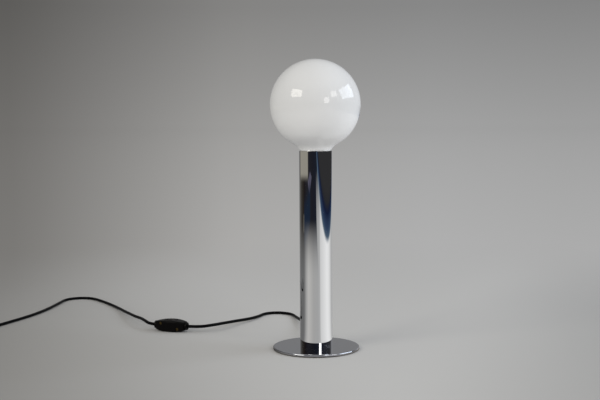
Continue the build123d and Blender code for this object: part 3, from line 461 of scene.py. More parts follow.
# %% [markdown]
# ### Screw cap and shell
#
# The outlines follow the CAD nodes: the same outer radius, floor and collar. The thread on
# the cap stops below the glass of the neck, which stands inside the cap's upper part.

# %% Screw cap and shell: outlines from the CAD boxes
sheet = 0.5 * MM
cap_low, cap_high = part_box("bulb_cap")
collar_flare = 0.8 * MM
collar_foot = 2.0 * MM
collar_lip = 1.2 * MM
collar_inset = 0.2 * MM
cap_radius = cap_high.x - collar_flare
cap_bore = cap_radius - sheet
cap_hole = 9.0 * MM
cap_corner = 1.0 * MM
cap_chamfer = 0.3 * MM
inner_corner = 0.7 * MM
cap_outline = [
    (cap_hole, cap_low.z),
    (cap_radius - cap_corner, cap_low.z),
    (cap_radius - cap_chamfer, cap_low.z + cap_chamfer),
    (cap_radius, cap_low.z + cap_corner),
    (cap_radius, cap_high.z - collar_foot),
    (cap_radius + collar_flare, cap_high.z - collar_lip),
    (cap_radius + collar_flare, cap_high.z),
    (cap_bore + collar_flare, cap_high.z),
    (cap_bore + collar_flare, cap_high.z - collar_lip + collar_inset),
    (cap_bore, cap_high.z - collar_foot + collar_inset),
    (cap_bore, cap_low.z + sheet + inner_corner),
    (cap_bore - inner_corner, cap_low.z + sheet),
    (cap_hole, cap_low.z + sheet),
]
shell_low, shell_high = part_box("screw_shell")
shell_radius = shell_high.x
shell_hole = 8.0 * MM
shell_outline = [
    (shell_hole, shell_low.z),
    (shell_radius, shell_low.z),
    (shell_radius, shell_high.z),
    (shell_radius - sheet, shell_high.z),
    (shell_radius - sheet, shell_low.z + sheet),
    (shell_hole, shell_low.z + sheet),
]
print("cap height and radius:", round(cap_high.z - cap_low.z, 4), round(cap_radius, 5))

# %% Screw cap and shell: turn them and roll the threads
thread_pitch = 3.62 * MM
neck_depth = 8.0 * MM
cap_thread = {
    "Pitch": thread_pitch, "Depth": 0.65 * MM, "Low": cap_low.z + 2.5 * MM,
    "High": cap_high.z - neck_depth - 0.3 * MM,
    "Material": bpy.data.materials.new("nickel_washed_sheet"),
}
shell_thread = {
    "Pitch": thread_pitch, "Depth": 0.3 * MM, "Low": shell_low.z + 1.5 * MM,
    "High": shell_high.z, "Material": bpy.data.materials.new("bright_brass"),
}
cap_blank = turned_mesh("cap_blank", dense_outline(cap_outline))
shell_blank = turned_mesh("shell_blank", dense_outline(shell_outline))
rolled_cap = through_tree("rolled_cap", cap_blank, rolled_thread, cap_thread, "bulb")
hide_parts("bulb_cap")
rolled_shell = through_tree("rolled_shell", shell_blank, rolled_thread, shell_thread, "stand")
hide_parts("screw_shell")

# %% [markdown]
# ## Grip ribs on the plug
#
# The plug's two slanting sides have short upright ribs for the fingers. One rib is a small
# bar with rounded ends; Geometry Nodes put copies of it along a line, which keeps the count,
# the spacing and the size as inputs. The tree is used once for each side.

# %% Grip ribs: one tree, used for both sides of the plug
rib_rings = 13
rib_sides = 12
rib_bluntness = 0.35


def rib_row_tree():
    """A tree that sets upright ribs along a line from Start to End."""
    tree, given = geometry_tree("rib_row", [
        ("Start", "Vector", None), ("End", "Vector", None), ("Count", "Int", 5),
        ("Rib Radius", "Float", 0.6 * MM), ("Rib Height", "Float", 4.0 * MM),
    ])
    ends = {}
    for label, share in (("Start", -0.5), ("End", 0.5)):
        ends[label] = vector_from(tree, 0.0, 0.0, times(tree, given["Rib Height"], share))
    spine = linked(tree, "GeometryNodeCurvePrimitiveLine", named=ends)
    steps = linked(tree, "GeometryNodeResampleCurve", spine.outputs[0], named={"Count": rib_rings})
    along = tree.nodes.new("GeometryNodeSplineParameter").outputs["Factor"]
    swing = math_node(tree, "SINE", times(tree, along, math.pi))
    bulge = math_node(tree, "POWER", swing, rib_bluntness)
    ring = linked(tree, "GeometryNodeCurvePrimitiveCircle", rib_sides,
                  named={"Radius": given["Rib Radius"]})
    rib = linked(tree, "GeometryNodeCurveToMesh", steps.outputs[0], ring.outputs[0],
                 named={"Scale": bulge, "Fill Caps": True})
    line = linked(tree, "GeometryNodeMeshLine", given["Count"], mode="END_POINTS",
                  named={"Start Location": given["Start"], "Offset": given["End"]})
    copies = linked(tree, "GeometryNodeInstanceOnPoints", line.outputs[0],
                    named={"Instance": rib.outputs[0]})
    finish_tree(tree, copies.outputs[0], given["Material"])
    return tree


rib_row = rib_row_tree()
show_sockets(rib_row)

# %% Grip ribs: one row on each side
plug_spot = Vector(plug_side_points[-1])
plug_heading = (plug_spot - Vector(plug_side_points[-2])).normalized()
plug_across = Vector((plug_heading.y, -plug_heading.x, 0))
grip_ends = {"Start": (10.0 * MM, 8.6 * MM), "End": (20.0 * MM, 15.2 * MM)}
plug_material = bpy.data.materials.new("grained_plug_plastic")


def add_plug_ribs(name, side):
    """Five ribs along one slanting side of the plug, side +1 or -1."""
    values = {"Count": 5, "Rib Radius": 0.6 * MM, "Rib Height": 6.4 * MM, "Material": plug_material}
    for label, (reach, half_width) in grip_ends.items():
        end = plug_spot + plug_heading * reach + plug_across * side * half_width
        values[label] = tuple(end)
    empty = bpy.data.meshes.new(name + "_none")
    ribs = through_tree(name, empty, rib_row, values, "stand")
    return ribs


plug_ribs = [add_plug_ribs("plug_ribs_left", 1), add_plug_ribs("plug_ribs_right", -1)]

# %% [markdown]
# ## What the lead is
#
# The switch ends the first stretch, and the plug with its ribs ends the second.

# %% [markdown]
# ## Shared effects
#
# Real surfaces are never perfectly even. Four effects come back in many of the finishes, so
# each is one shader node group with its own inputs: moulded or cast grain, the soft dull
# patches that hands leave on a polished thing, fine lines from polishing, and the dust that
# settles on whatever faces up. Each group puts out a value or a mask. The shader itself stays
# in the material, where its plain numbers are easy to find.

# %% Shared effects: small helpers
def effect_tree(name, inputs, outputs):
    """A shader node group with float inputs, a vector input and float outputs."""
    tree = bpy.data.node_groups.new(name, "ShaderNodeTree")
    tree_socket(tree, "Vector", "Vector")
    for label, value in inputs.items():
        tree_socket(tree, label, "Float", value)
    for label in outputs:
        tree_socket(tree, label, "Float", in_out="OUTPUT")
    return tree, tree.nodes.new("NodeGroupInput").outputs


def leave_tree(tree, **outputs):
    """Link a group's results to its outputs and print its sockets."""
    linked(tree, "NodeGroupOutput", named=outputs)
    show_sockets(tree)
    return tree


def noise(tree, vector, scale, detail=3.0, roughness=0.5):
    """The value of a noise texture, its scale a socket or a number of waves a metre."""
    inputs = {"Vector": vector, "Scale": scale, "Detail": detail, "Roughness": roughness}
    return linked(tree, "ShaderNodeTexNoise", named=inputs).outputs[0]


# %% Grain: moulded plastic, cast metal, felt
def grain_tree():
    """Fine pits of one size, broken up by a broader drift."""
    tree, given = effect_tree("grain", {"Scale": 1500.0, "Drift": 0.3}, ["Height", "Mask"])
    fine = noise(tree, given["Vector"], given["Scale"], detail=2.0, roughness=0.6)
    wide = noise(tree, given["Vector"], times(tree, given["Scale"], 0.07), detail=2.0)
    mixed = plus(tree, fine, times(tree, wide, given["Drift"]))
    return leave_tree(tree, Height=mixed, Mask=fade(tree, mixed, 0.45, 0.85))


grain = grain_tree()


# %% Handling: dull patches on a polished surface
def handling_tree():
    """Roughness that rises from Clean to Worn in soft separate patches."""
    inputs = {"Scale": 18.0, "Clean": 0.05, "Worn": 0.2, "Spread": 0.5}
    tree, given = effect_tree("handling", inputs, ["Roughness", "Mask"])
    patches = noise(tree, given["Vector"], given["Scale"], detail=4.0, roughness=0.6)
    streaks = noise(tree, given["Vector"], times(tree, given["Scale"], 5.0))
    low = minus(tree, 0.75, times(tree, given["Spread"], 0.4))
    core = fade(tree, minus(tree, patches, low), 0.0, 0.22)
    mask = times(tree, core, fade(tree, streaks, 0.3, 0.7))
    wear = times(tree, mask, minus(tree, given["Worn"], given["Clean"]))
    return leave_tree(tree, Roughness=plus(tree, given["Clean"], wear), Mask=mask)


handling = handling_tree()


# %% Polishing: fine lines in one direction
def polishing_tree():
    """Hair lines that run across the vector's stretched direction."""
    tree, given = effect_tree("polishing", {"Scale": 900.0, "Breaks": 20.0}, ["Height", "Mask"])
    lines = noise(tree, given["Vector"], given["Scale"], detail=3.0, roughness=0.7)
    breaks = noise(tree, given["Vector"], given["Breaks"], detail=1.0)
    height = times(tree, lines, fade(tree, breaks, 0.3, 0.75))
    return leave_tree(tree, Height=height, Mask=fade(tree, lines, 0.55, 0.8))


polishing = polishing_tree()


# %% Dust: on what faces up
def dust_tree():
    """A thin broken layer on faces that look upwards."""
    tree, given = effect_tree("dust", {"Scale": 700.0, "Amount": 0.3}, ["Mask"])
    normal = tree.nodes.new("ShaderNodeNewGeometry").outputs["Normal"]
    upward = fade(tree, parts_of(tree, normal)[2], 0.35, 1.0)
    specks = fade(tree, noise(tree, given["Vector"], given["Scale"], detail=3.0), 0.5, 0.78)
    drifts = fade(tree, noise(tree, given["Vector"], 25.0, detail=2.0), 0.35, 0.7)
    layer = plus(tree, times(tree, drifts, 0.25), specks)
    return leave_tree(tree, Mask=times(tree, upward, layer, given["Amount"]))


dust = dust_tree()

# %% [markdown]
# ## Finishes
#
# Every finish is a material with one Principled shader. A small helper makes the material,
# gives it the Object coordinates and sets the plain numbers on the shader's own sockets. What
# changes over the surface, such as colour, roughness and bump, is linked in after that. Each
# finish is kept under the name of the material slot that takes it.

# %% Finishes: colours
def grey(value, warmth=0.0):
    """A grey, a little warmer when asked."""
    return (value * (1 + warmth), value, value * (1 - 1.6 * warmth))


def ramp(tree, value, stops, smooth=False):
    """A colour ramp from a list of (place, colour) stops."""
    node = linked(tree, "ShaderNodeValToRGB", value)
    node.color_ramp.interpolation = "B_SPLINE" if smooth else "LINEAR"
    elements = node.color_ramp.elements
    while len(elements) < len(stops):
        elements.new(0.5)
    for element, (place, colour) in zip(elements, stops):
        element.position = place
        element.color = (*colour, 1)
    return node.outputs["Color"]


def blend_colours(tree, factor, first, second, mode="MIX"):
    """Mix two colours, each a socket or a plain colour."""
    node = linked(tree, "ShaderNodeMix", data_type="RGBA", blend_type=mode)
    sockets = (node.inputs[0], node.inputs[6], node.inputs[7])
    for socket, value in zip(sockets, (factor, first, second)):
        feed(tree, socket, (*value, 1) if isinstance(value, tuple) else value)
    return node.outputs[2]


def tinted(tree, first, second):
    """One colour multiplied by another."""
    return blend_colours(tree, 1.0, first, second, "MULTIPLY")


# %% Finishes: the helper that every material uses
class Finish:
    """A material under construction: its tree, its shader and its coordinates."""

    def __init__(self, material, **plain):
        if isinstance(material, str):
            material = bpy.data.materials.new(material)
        material.use_nodes = True
        self.material = material
        self.tree = material.node_tree
        self.shader = self.tree.nodes["Principled BSDF"]
        self.place = self.tree.nodes.new("ShaderNodeTexCoord").outputs["Object"]
        for name, value in plain.items():
            self.shader.inputs[name.replace("_", " ")].default_value = value

    def feed(self, socket, value):
        """Link a value to one of the shader's sockets."""
        self.tree.links.new(value, self.shader.inputs[socket])

    def effect(self, group, vector=None, **values):
        """Place a shared effect with its own values and return its outputs."""
        values["Vector"] = vector or self.place
        return linked(self.tree, "ShaderNodeGroup", node_tree=group, named=values).outputs

    def worn(self, **values):
        """Feed the roughness of the handling effect and return its mask."""
        marks = self.effect(handling, **values)
        self.feed("Roughness", marks["Roughness"])
        return marks["Mask"]

    def stretched(self, x, y, z):
        """The coordinates squeezed or stretched along each axis."""
        scale = {"Scale": (x, y, z)}
        return linked(self.tree, "ShaderNodeMapping", self.place, named=scale).outputs[0]

    def bump(self, height, strength, distance):
        """Bump from a height, its distance in metres, with earlier bump under it."""
        inputs = {"Strength": strength, "Distance": distance, "Height": height}
        node = linked(self.tree, "ShaderNodeBump", named=inputs)
        earlier = self.shader.inputs["Normal"]
        if earlier.is_linked:
            self.tree.links.new(earlier.links[0].from_socket, node.inputs["Normal"])
        self.tree.links.new(node.outputs[0], earlier)

    def colours(self, mask, base, marked):
        """Base colour that goes from one colour to another by a mask."""
        self.feed("Base Color", blend_colours(self.tree, mask, base, marked))


# %% Finishes: keep each under its slot
finishes = {}


def keep(**made):
    """Keep finished materials under their slots and print how many nodes each has."""
    finishes.update(made)
    for slot, material in made.items():
        print(slot + ":", len(material.node_tree.nodes), "nodes")


# %% [markdown]
# ### Polished chrome
#
# Tube and foot are plated and polished. Their look is almost all reflection, so the base
# colour is the plate's own grey, the roughness is very low, and only faint things break it:
# patches from handling, hair lines round the tube from its polishing, and a slow waviness
# that drawn tube has along its length. On the foot the lines run in circles, so its
# coordinates are turned into a distance from the axis first.

# %% Polished chrome: tube
def chromed_tube():
    """Mirror finish of the drawn tube."""
    chrome = Finish("polished_chrome_tube", Metallic=1.0, IOR=2.5)
    marks = chrome.worn(Scale=16.0, Clean=0.02, Worn=0.07, Spread=0.35)
    chrome.colours(marks, (0.745, 0.75, 0.755), (0.69, 0.69, 0.69))
    lines = chrome.effect(polishing, chrome.stretched(0.05, 0.05, 1.0), Scale=2600.0, Breaks=30.0)
    chrome.bump(lines["Height"], 0.05, 0.02 * MM)
    wave = noise(chrome.tree, chrome.stretched(1.0, 1.0, 0.12), 70.0, detail=2.0)
    chrome.bump(wave, 0.25, 0.2 * MM)
    return chrome.material


# %% Polished chrome: foot
def chromed_foot():
    """Mirror finish of the foot, turned, so its lines are circles."""
    chrome = Finish("polished_chrome_foot", Metallic=1.0, IOR=2.5)
    tree = chrome.tree
    marks = chrome.effect(handling, Scale=40.0, Clean=0.04, Worn=0.16, Spread=0.5)
    specks = chrome.effect(dust, Scale=1400.0, Amount=0.35)["Mask"]
    chrome.feed("Roughness", plus(tree, marks["Roughness"], times(tree, specks, 0.3)))
    from_axis = length_of(tree, chrome.stretched(1.0, 1.0, 0.0))
    lines = chrome.effect(polishing, vector_from(tree, from_axis), Scale=2200.0, Breaks=60.0)
    plate = blend_colours(tree, lines["Mask"], (0.51, 0.52, 0.56), (0.77, 0.78, 0.82))
    chrome.colours(specks, plate, (0.50, 0.49, 0.47))
    chrome.bump(lines["Height"], 0.06, 0.02 * MM)
    return chrome.material


keep(chromed_tube=chromed_tube(), chromed_steel=chromed_foot())

# %% [markdown]
# ### Opal glass
#
# The bulb is blown glass with a thin milky layer: pure white inside the glass, under a hard
# glossy skin. Light that enters the real globe evens out inside and makes its underside look
# bright. Scattering through a hollow shell is slow and noisy to render, so that light is painted
# into the base colour instead: whiter towards the neck and greyer at the crown. Very slow waves
# in the skin bend the highlights the way blown glass does.

# %% Opal glass
opal_painted_light_stops = [(0.28, grey(0.99)), (0.40, grey(0.95)), (0.58, grey(0.82)), (1.0, grey(0.75))]


def opal_glass():
    """White glass with a glossy skin, faint waves, faint streaks, and painted light that whitens it
    towards the neck.
    """
    glass = Finish("opal_glass", IOR=1.45)
    tree = glass.tree
    glass.worn(Scale=14.0, Clean=0.05, Worn=0.14, Spread=0.5)
    low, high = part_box("bulb_glass")
    # painted light: base colour whiter towards the neck and greyer at the crown, for light spread
    # inside the globe
    layer = ramp(tree, span(tree, parts_of(tree, glass.place)[2], low.z, high.z), opal_painted_light_stops)
    tint = fade(tree, noise(tree, glass.place, 9.0, detail=2.0), 0.3, 0.7)
    streaked = blend_colours(tree, tint, grey(1.0), grey(0.965))
    glass.feed("Base Color", tinted(tree, layer, streaked))
    glass.bump(noise(tree, glass.place, 26.0, detail=1.0), 0.2, 0.6 * MM)
    return glass.material


keep(opal_glass=opal_glass())

# %% [markdown]
# ### Plastics, rubber and felt
#
# The switch and the plug are moulded in a mould with a fine spark-etched grain; the rocker
# is moulded in a polished one. The lead's sheath is soft PVC with a satin skin, and the bush
# is matt rubber. All are nearly black, so what tells them apart is grain, gloss and the dust
# they hold. Felt is short fibres that lie every way, so fine noise feeds both its colour and
# its bump.

# %% Moulded plastics
def moulded(material, colour, dusty, scale, roughness, depth):
    """A fine-grained moulded plastic, with dust in its grain."""
    plastic = Finish(material, IOR=1.17)
    pits = plastic.effect(grain, Scale=scale, Drift=0.4)
    plastic.worn(Scale=60.0, Clean=roughness, Worn=roughness + 0.14, Spread=0.6)
    specks = plastic.effect(dust, Scale=2500.0, Amount=0.14)
    plastic.colours(specks["Mask"], colour, dusty)
    plastic.bump(pits["Height"], 0.35, depth)
    return plastic.material


keep(
    black_gloss=moulded("moulded_thermoset", (0.02, 0.018, 0.017), (0.08, 0.075, 0.07),
                        scale=900.0, roughness=0.16, depth=0.03 * MM),
    switch_black=moulded("grained_switch_plastic", (0.004, 0.0035, 0.0035), (0.03, 0.028, 0.026),
                         scale=1700.0, roughness=0.36, depth=0.12 * MM),
    rocker_black=moulded("polished_rocker_plastic", (0.012, 0.009, 0.008), (0.05, 0.042, 0.035),
                         scale=900.0, roughness=0.2, depth=0.03 * MM),
    plug_black=moulded(plug_material, (0.014, 0.014, 0.015), (0.07, 0.068, 0.064),
                       scale=1500.0, roughness=0.4, depth=0.12 * MM),
)


# %% Sheath of the lead
def black_sheath():
    """Satin skin of the lead."""
    sheath = Finish("satin_black_sheath", IOR=1.14)
    sheath.worn(Scale=45.0, Clean=0.34, Worn=0.5, Spread=0.7)
    specks = sheath.effect(dust, Scale=3000.0, Amount=0.10)
    sheath.colours(specks["Mask"], (0.002, 0.002, 0.0025), (0.018, 0.017, 0.016))
    pits = sheath.effect(grain, Scale=2200.0, Drift=0.8)
    sheath.bump(pits["Height"], 0.2, 0.06 * MM)
    return sheath.material


# %% Rubber and felt
def black_rubber():
    """Matt rubber of the bush."""
    rubber = Finish("matt_black_rubber", IOR=1.45)
    pits = rubber.effect(grain, Scale=1800.0, Drift=0.6)
    rubber.feed("Roughness", math_node(rubber.tree, "MULTIPLY_ADD", pits["Mask"], 0.2, 0.55))
    specks = rubber.effect(dust, Scale=2600.0, Amount=0.35)
    rubber.colours(specks["Mask"], (0.021, 0.021, 0.022), (0.11, 0.105, 0.10))
    rubber.bump(pits["Height"], 0.4, 0.08 * MM)
    return rubber.material


def felt():
    """Dense pressed felt: short fibres lying every way."""
    pad = Finish("pressed_felt", Roughness=0.95, Sheen_Weight=0.5, Sheen_Roughness=0.5, IOR=1.4)
    fibres = noise(pad.tree, pad.stretched(1.0, 1.0, 2.5), 1900.0, detail=5.0, roughness=0.75)
    clumps = pad.effect(grain, Scale=420.0, Drift=0.5)
    pad.colours(fade(pad.tree, fibres, 0.35, 0.7), (0.022, 0.022, 0.025), (0.075, 0.073, 0.075))
    pad.bump(clumps["Height"], 0.5, 0.2 * MM)
    pad.bump(fibres, 0.6, 0.1 * MM)
    return pad.material


keep(black_sheath=black_sheath(), black_rubber=black_rubber(), felt=felt())

# %% [markdown]
# ### Metals inside
#
# Brass darkens a little where air and fingers reach it. Zinc plate has a faint yellow and
# blue passivation. The foot's cup is a raw casting with a sandy skin. The rod's thread is far
# too fine and too well hidden to be worth geometry, so its helix is a bump: a wave of height
# and bearing together.

# %% Brass and other bright metals
def tarnished(material, clean, dark, scale, roughness):
    """A soft bright metal that has dulled in patches."""
    metal = Finish(material, Metallic=1.0)
    marks = metal.worn(Scale=scale, Clean=roughness, Worn=roughness + 0.22, Spread=0.75)
    metal.colours(marks, clean, dark)
    lines = metal.effect(polishing, metal.stretched(1.0, 1.0, 0.15), Scale=3500.0, Breaks=90.0)
    metal.bump(lines["Height"], 0.08, 0.03 * MM)
    return metal.material


keep(
    brass=tarnished(shell_thread["Material"], (0.76, 0.56, 0.24), (0.48, 0.31, 0.12),
                    scale=90.0, roughness=0.16),
    cap_metal=tarnished(cap_thread["Material"], (0.72, 0.70, 0.65), (0.46, 0.42, 0.35),
                        scale=120.0, roughness=0.2),
    wire_metal=tarnished("drawn_wire", (0.50, 0.49, 0.47), (0.30, 0.27, 0.24),
                         scale=150.0, roughness=0.25),
    pin_metal=tarnished("nickel_plated_pin", (0.74, 0.72, 0.68), (0.55, 0.51, 0.45),
                        scale=100.0, roughness=0.16),
)

# %% Zinc plate and casting
zinc_stops = [(0.35, (0.52, 0.55, 0.60)), (0.5, (0.60, 0.60, 0.58)), (0.65, (0.63, 0.59, 0.48))]
rod_pitch = 1.0 * MM


def zinc_plate(material, threaded=False):
    """Bright zinc with its passivation colours; the rod also has its thread."""
    zinc = Finish(material, Metallic=1.0)
    tree = zinc.tree
    zinc.worn(Scale=110.0, Clean=0.28, Worn=0.45, Spread=0.8)
    zinc.feed("Base Color", ramp(tree, noise(tree, zinc.place, 45.0), zinc_stops))
    if threaded:
        x, y, z = parts_of(tree, zinc.place)
        climb = times(tree, z, 2 * math.pi / rod_pitch)
        helix = minus(tree, climb, math_node(tree, "ARCTAN2", y, x))
        zinc.bump(math_node(tree, "SINE", helix), 0.8, 0.3 * MM)
    return zinc.material


def zinc_casting():
    """Sandy skin of a raw light-alloy casting."""
    cast = Finish("raw_casting", Metallic=0.9)
    skin = cast.effect(grain, Scale=700.0, Drift=0.9)
    cast.feed("Roughness", math_node(cast.tree, "MULTIPLY_ADD", skin["Mask"], 0.25, 0.42))
    cast.colours(skin["Mask"], (0.50, 0.50, 0.50), (0.33, 0.33, 0.34))
    cast.bump(skin["Height"], 0.6, 0.3 * MM)
    return cast.material


keep(zinc_steel=zinc_plate("zinc_plate"), zinc_casting=zinc_casting())

# %% [markdown]
# ### Ceramic, clear glass and wires
#
# The insert of the lampholder is glazed porcelain. The cap is closed below by black glass,
# and the stem that carries the filament is clear glass, which keeps plain metal and
# transmission values. The wires have their usual brown and blue skins.

# %% Porcelain, black glass and clear glass
def porcelain():
    """White glaze with a few iron specks."""
    glaze = Finish("glazed_porcelain", Coat_Weight=0.6, Coat_Roughness=0.05)
    glaze.worn(Scale=70.0, Clean=0.14, Worn=0.3, Spread=0.5)
    specks = fade(glaze.tree, noise(glaze.tree, glaze.place, 900.0, detail=1.0), 0.74, 0.8)
    glaze.colours(specks, (0.82, 0.80, 0.76), (0.35, 0.28, 0.2))
    glaze.bump(noise(glaze.tree, glaze.place, 160.0, detail=2.0), 0.15, 0.2 * MM)
    return glaze.material


def black_glass():
    """Black glass poured into the cap, with flow marks."""
    glass = Finish("black_poured_glass", IOR=1.55)
    flow = noise(glass.tree, glass.place, 260.0)
    glass.feed("Roughness", math_node(glass.tree, "MULTIPLY_ADD", flow, 0.12, 0.08))
    glass.colours(flow, (0.012, 0.012, 0.016), (0.035, 0.03, 0.045))
    glass.bump(flow, 0.2, 0.2 * MM)
    return glass.material


def clear_glass():
    """Clear drawn glass of the stem."""
    glass = Finish("clear_stem_glass", IOR=1.5, Transmission_Weight=1.0, Roughness=0.02)
    drift = noise(glass.tree, glass.stretched(1.0, 1.0, 0.2), 240.0, detail=1.0)
    glass.colours(drift, (0.93, 0.96, 0.96), (0.88, 0.93, 0.92))
    glass.bump(drift, 0.2, 0.2 * MM)
    return glass.material


keep(porcelain=porcelain(), black_glass=black_glass(), clear_glass=clear_glass())


# %% Wire skins
def wire_skin(material, colour, faded):
    """Thin PVC on a wire, a little chalky in places."""
    skin = Finish(material, IOR=1.5)
    marks = skin.worn(Scale=120.0, Clean=0.32, Worn=0.5, Spread=0.8)
    skin.colours(marks, colour, faded)
    pits = skin.effect(grain, Scale=2600.0, Drift=0.5)
    skin.bump(pits["Height"], 0.2, 0.04 * MM)
    return skin.material


keep(
    brown_wire=wire_skin("brown_wire_skin", (0.16, 0.065, 0.025), (0.25, 0.14, 0.08)),
    blue_wire=wire_skin("blue_wire_skin", (0.02, 0.10, 0.36), (0.10, 0.19, 0.42)),
    switch_wires=wire_skin("switch_wire_skin", (0.06, 0.09, 0.28), (0.14, 0.16, 0.32)),
)

# %% [markdown]
# ### Give every piece its finish
#
# The record names a material slot for each node, so most nodes take the finish kept under
# that slot. Two differ from their slot: the rod has a thread, and the screws in the switch
# are brass painted much darker, as painted shade for their recesses.

# %% Give every piece its finish
variants = {
    "threaded_rod": zinc_plate("zinc_plate_threaded", threaded=True),
    # painted shade: the switch's screws get dark brass for the shade in their recesses
    "shell_screws": tarnished("brass_with_painted_shade", (0.20, 0.14, 0.05), (0.07, 0.045, 0.02),
                              scale=400.0, roughness=0.3),
}
slots = {part["node"]: part["material_slot"] for part in frame["record"]["subparts"]}
for name, node in nodes.items():
    node.data.materials.clear()
    node.data.materials.append(variants.get(name) or finishes[slots[name]])
for lead in (lead_to_switch, lead_to_plug):
    lead.data.materials.append(finishes["black_sheath"])
print("finishes:", len(finishes), "nodes with a finish:", len(nodes))

# %% [markdown]
# ## Stage and light
#
# A mirror finish has no colour of its own: it shows the room. So the room is part of the
# finish here. The lamp stands on a large pale sheet of paper that curves up into a grey
# backdrop, two wide windows light it from the left and the right, and the room behind the
# camera is dark. Light Path nodes keep three kinds of ray apart. A camera ray sees the plain
# pale floor and backdrop, a glossy ray sees the sheet, its edges and the dark room, and every
# other ray sees an even soft light. That way the light on the lamp stays plain while the
# chrome has something to show.
#
# Both the floor and the world need the direction of a point or a ray, as a bearing, because
# the room's tones are ramps round the lamp.

# %% Stage: bearings, rays and the backdrop's tone
backdrop_stops = [
    (0.00, grey(0.35)), (0.50, grey(0.35)), (0.71, grey(0.338)), (0.73, grey(0.354)),
    (0.76, grey(0.332, 0.014)), (0.792, grey(0.158, 0.03)), (0.81, grey(0.144, 0.03)),
    (0.92, grey(0.35)),
]


def compass(tree, vector):
    """Bearing of a vector as a share of a turn: 0 left, 0.25 front, 0.5 right, 0.75 back."""
    return linked(tree, "ShaderNodeTexGradient", vector, gradient_type="RADIAL").outputs["Fac"]


def backdrop_tone(tree, direction):
    """The backdrop's tone at the horizon: darker towards its far left."""
    return ramp(tree, compass(tree, direction), backdrop_stops)


def ray_kinds(tree):
    """Two masks: one for rays that see the stage plainly, one for reflections."""
    path = tree.nodes.new("ShaderNodeLightPath").outputs
    plain = math_node(tree, "MAXIMUM", path["Is Camera Ray"], path["Is Transmission Ray"])
    return plain, path["Is Glossy Ray"]


# %% Stage: the world
room_stops = [
    (0.00, (0.014, 0.010, 0.010)), (0.09, (0.022, 0.024, 0.032)), (0.18, (0.014, 0.013, 0.016)),
    (0.32, (0.012, 0.018, 0.035)), (0.50, (0.045, 0.048, 0.052)), (0.59, (0.03, 0.03, 0.035)),
    (0.62, (0.36, 0.36, 0.37)), (0.69, (0.36, 0.36, 0.37)), (0.73, (0.26, 0.26, 0.26)),
    (0.80, (0.26, 0.26, 0.26)), (0.89, (0.06, 0.055, 0.045)), (1.00, (0.014, 0.010, 0.010)),
]
ceiling_tone = 0.45
ceiling_edges = (0.42, 0.85)
upward_loss = 0.31
upward_reach = math.sin(math.radians(6.3))
soft_light_low = 0.84
soft_light_high = 0.38


def room_world():
    """World with the backdrop, the room for reflections and an even soft light."""
    world = bpy.data.worlds.new("room")
    world.use_nodes = True
    tree = world.node_tree
    direction = tree.nodes.new("ShaderNodeTexCoord").outputs["Generated"]
    climb = parts_of(tree, direction)[2]
    loss = span(tree, climb, 0.0, upward_reach, 1.0, 1.0 - upward_loss)
    backdrop = tinted(tree, backdrop_tone(tree, direction), loss)
    room = ramp(tree, compass(tree, direction), room_stops, smooth=True)
    room = blend_colours(tree, fade(tree, climb, *ceiling_edges), room, grey(ceiling_tone))
    soft = span(tree, climb, 0.0, 1.0, soft_light_low, soft_light_high)
    plain, glossy = ray_kinds(tree)
    seen = blend_colours(tree, glossy, soft, room)
    seen = blend_colours(tree, plain, seen, backdrop)
    tree.links.new(seen, tree.nodes["Background"].inputs["Color"])
    return world


scene.world = room_world()
print("soft light from the horizon up:", soft_light_low, soft_light_high)

# %% [markdown]
# ### Floor
#
# The floor is one very large disc, so that its edge lies at the horizon. Near the lamp it is a
# pale surface that takes the lamp's shadows, with painted shade that darkens it towards both
# sides. Farther out a camera ray sees it fade into the backdrop's own tone, which stands in for
# the curve of the paper. In reflections it is the paper, with worn edges and a painted shadow
# round the foot, on the floor of a dark room that has a few paler places and a patch of painted
# shade.

# %% Floor: the paper's edges and tones in reflections
paper_edge = (1.76, 1.52)
paper_worn = (2.45, 0.75)
paper_stops = [
    (0.00, grey(0.20)), (0.05, grey(0.44, 0.01)), (0.10, grey(0.60, 0.02)), (0.20, grey(0.46, 0.01)),
    (0.28, grey(0.46)), (0.32, grey(0.52)), (0.335, grey(0.76)), (0.40, grey(0.88)),
    (0.48, grey(1.02)), (0.54, grey(0.92)), (0.62, grey(0.52)), (0.75, grey(0.40)),
    (0.87, grey(0.18)), (0.97, grey(0.17)), (1.00, grey(0.20)),
]
strip_across = (0.15, 0.3)
strip_along = (-7.0, -1.2)
# painted shadow: the reflected floor is darkened in a ring round the foot
painted_contact_shadow_tone = grey(0.2, 0.08)
painted_contact_shadow_ring = (0.074, 0.092)
print("paper edge on the right, in metres:", paper_edge)

# %% Floor: the dark room round the paper
wall_bearings = ((0.105, 0.085), (0.87, 0.89))
wall_distance = (4.9, 6.2)
wall_colour = (0.35, 0.33, 0.28)
patch_edge = 0.06
room_patches = [
    ((-4.2, -2.7), (-5.0, -2.7), (0.11, 0.105, 0.15)),
    ((-2.6, -1.9), (0.04, 0.22), (0.22, 0.21, 0.18)),
]
daylight_from = (1.1, 1.4)
daylight_reach = 4.0
daylight_stops = [
    (0.0, (0.11, 0.17, 0.23)), (0.40, (0.11, 0.17, 0.23)), (0.50, (0.035, 0.06, 0.12)),
    (0.66, (0.009, 0.015, 0.045)), (0.80, (0.028, 0.029, 0.033)), (1.0, (0.034, 0.034, 0.036)),
]
shade_across = ((-4.0, -2.4), (-1.3, -1.7))
shade_bearing = (0.16, 0.12)
shade_colour = (0.014, 0.024, 0.046)


def patch(tree, across, along, sides, ends):
    """A soft rectangle on the floor, between two sides and two ends."""
    edges = []
    for place, (low, high) in ((across, sides), (along, ends)):
        edges.append(fade(tree, place, low - patch_edge, low + patch_edge))
        edges.append(fade(tree, place, high + patch_edge, high - patch_edge))
    return times(tree, *edges)


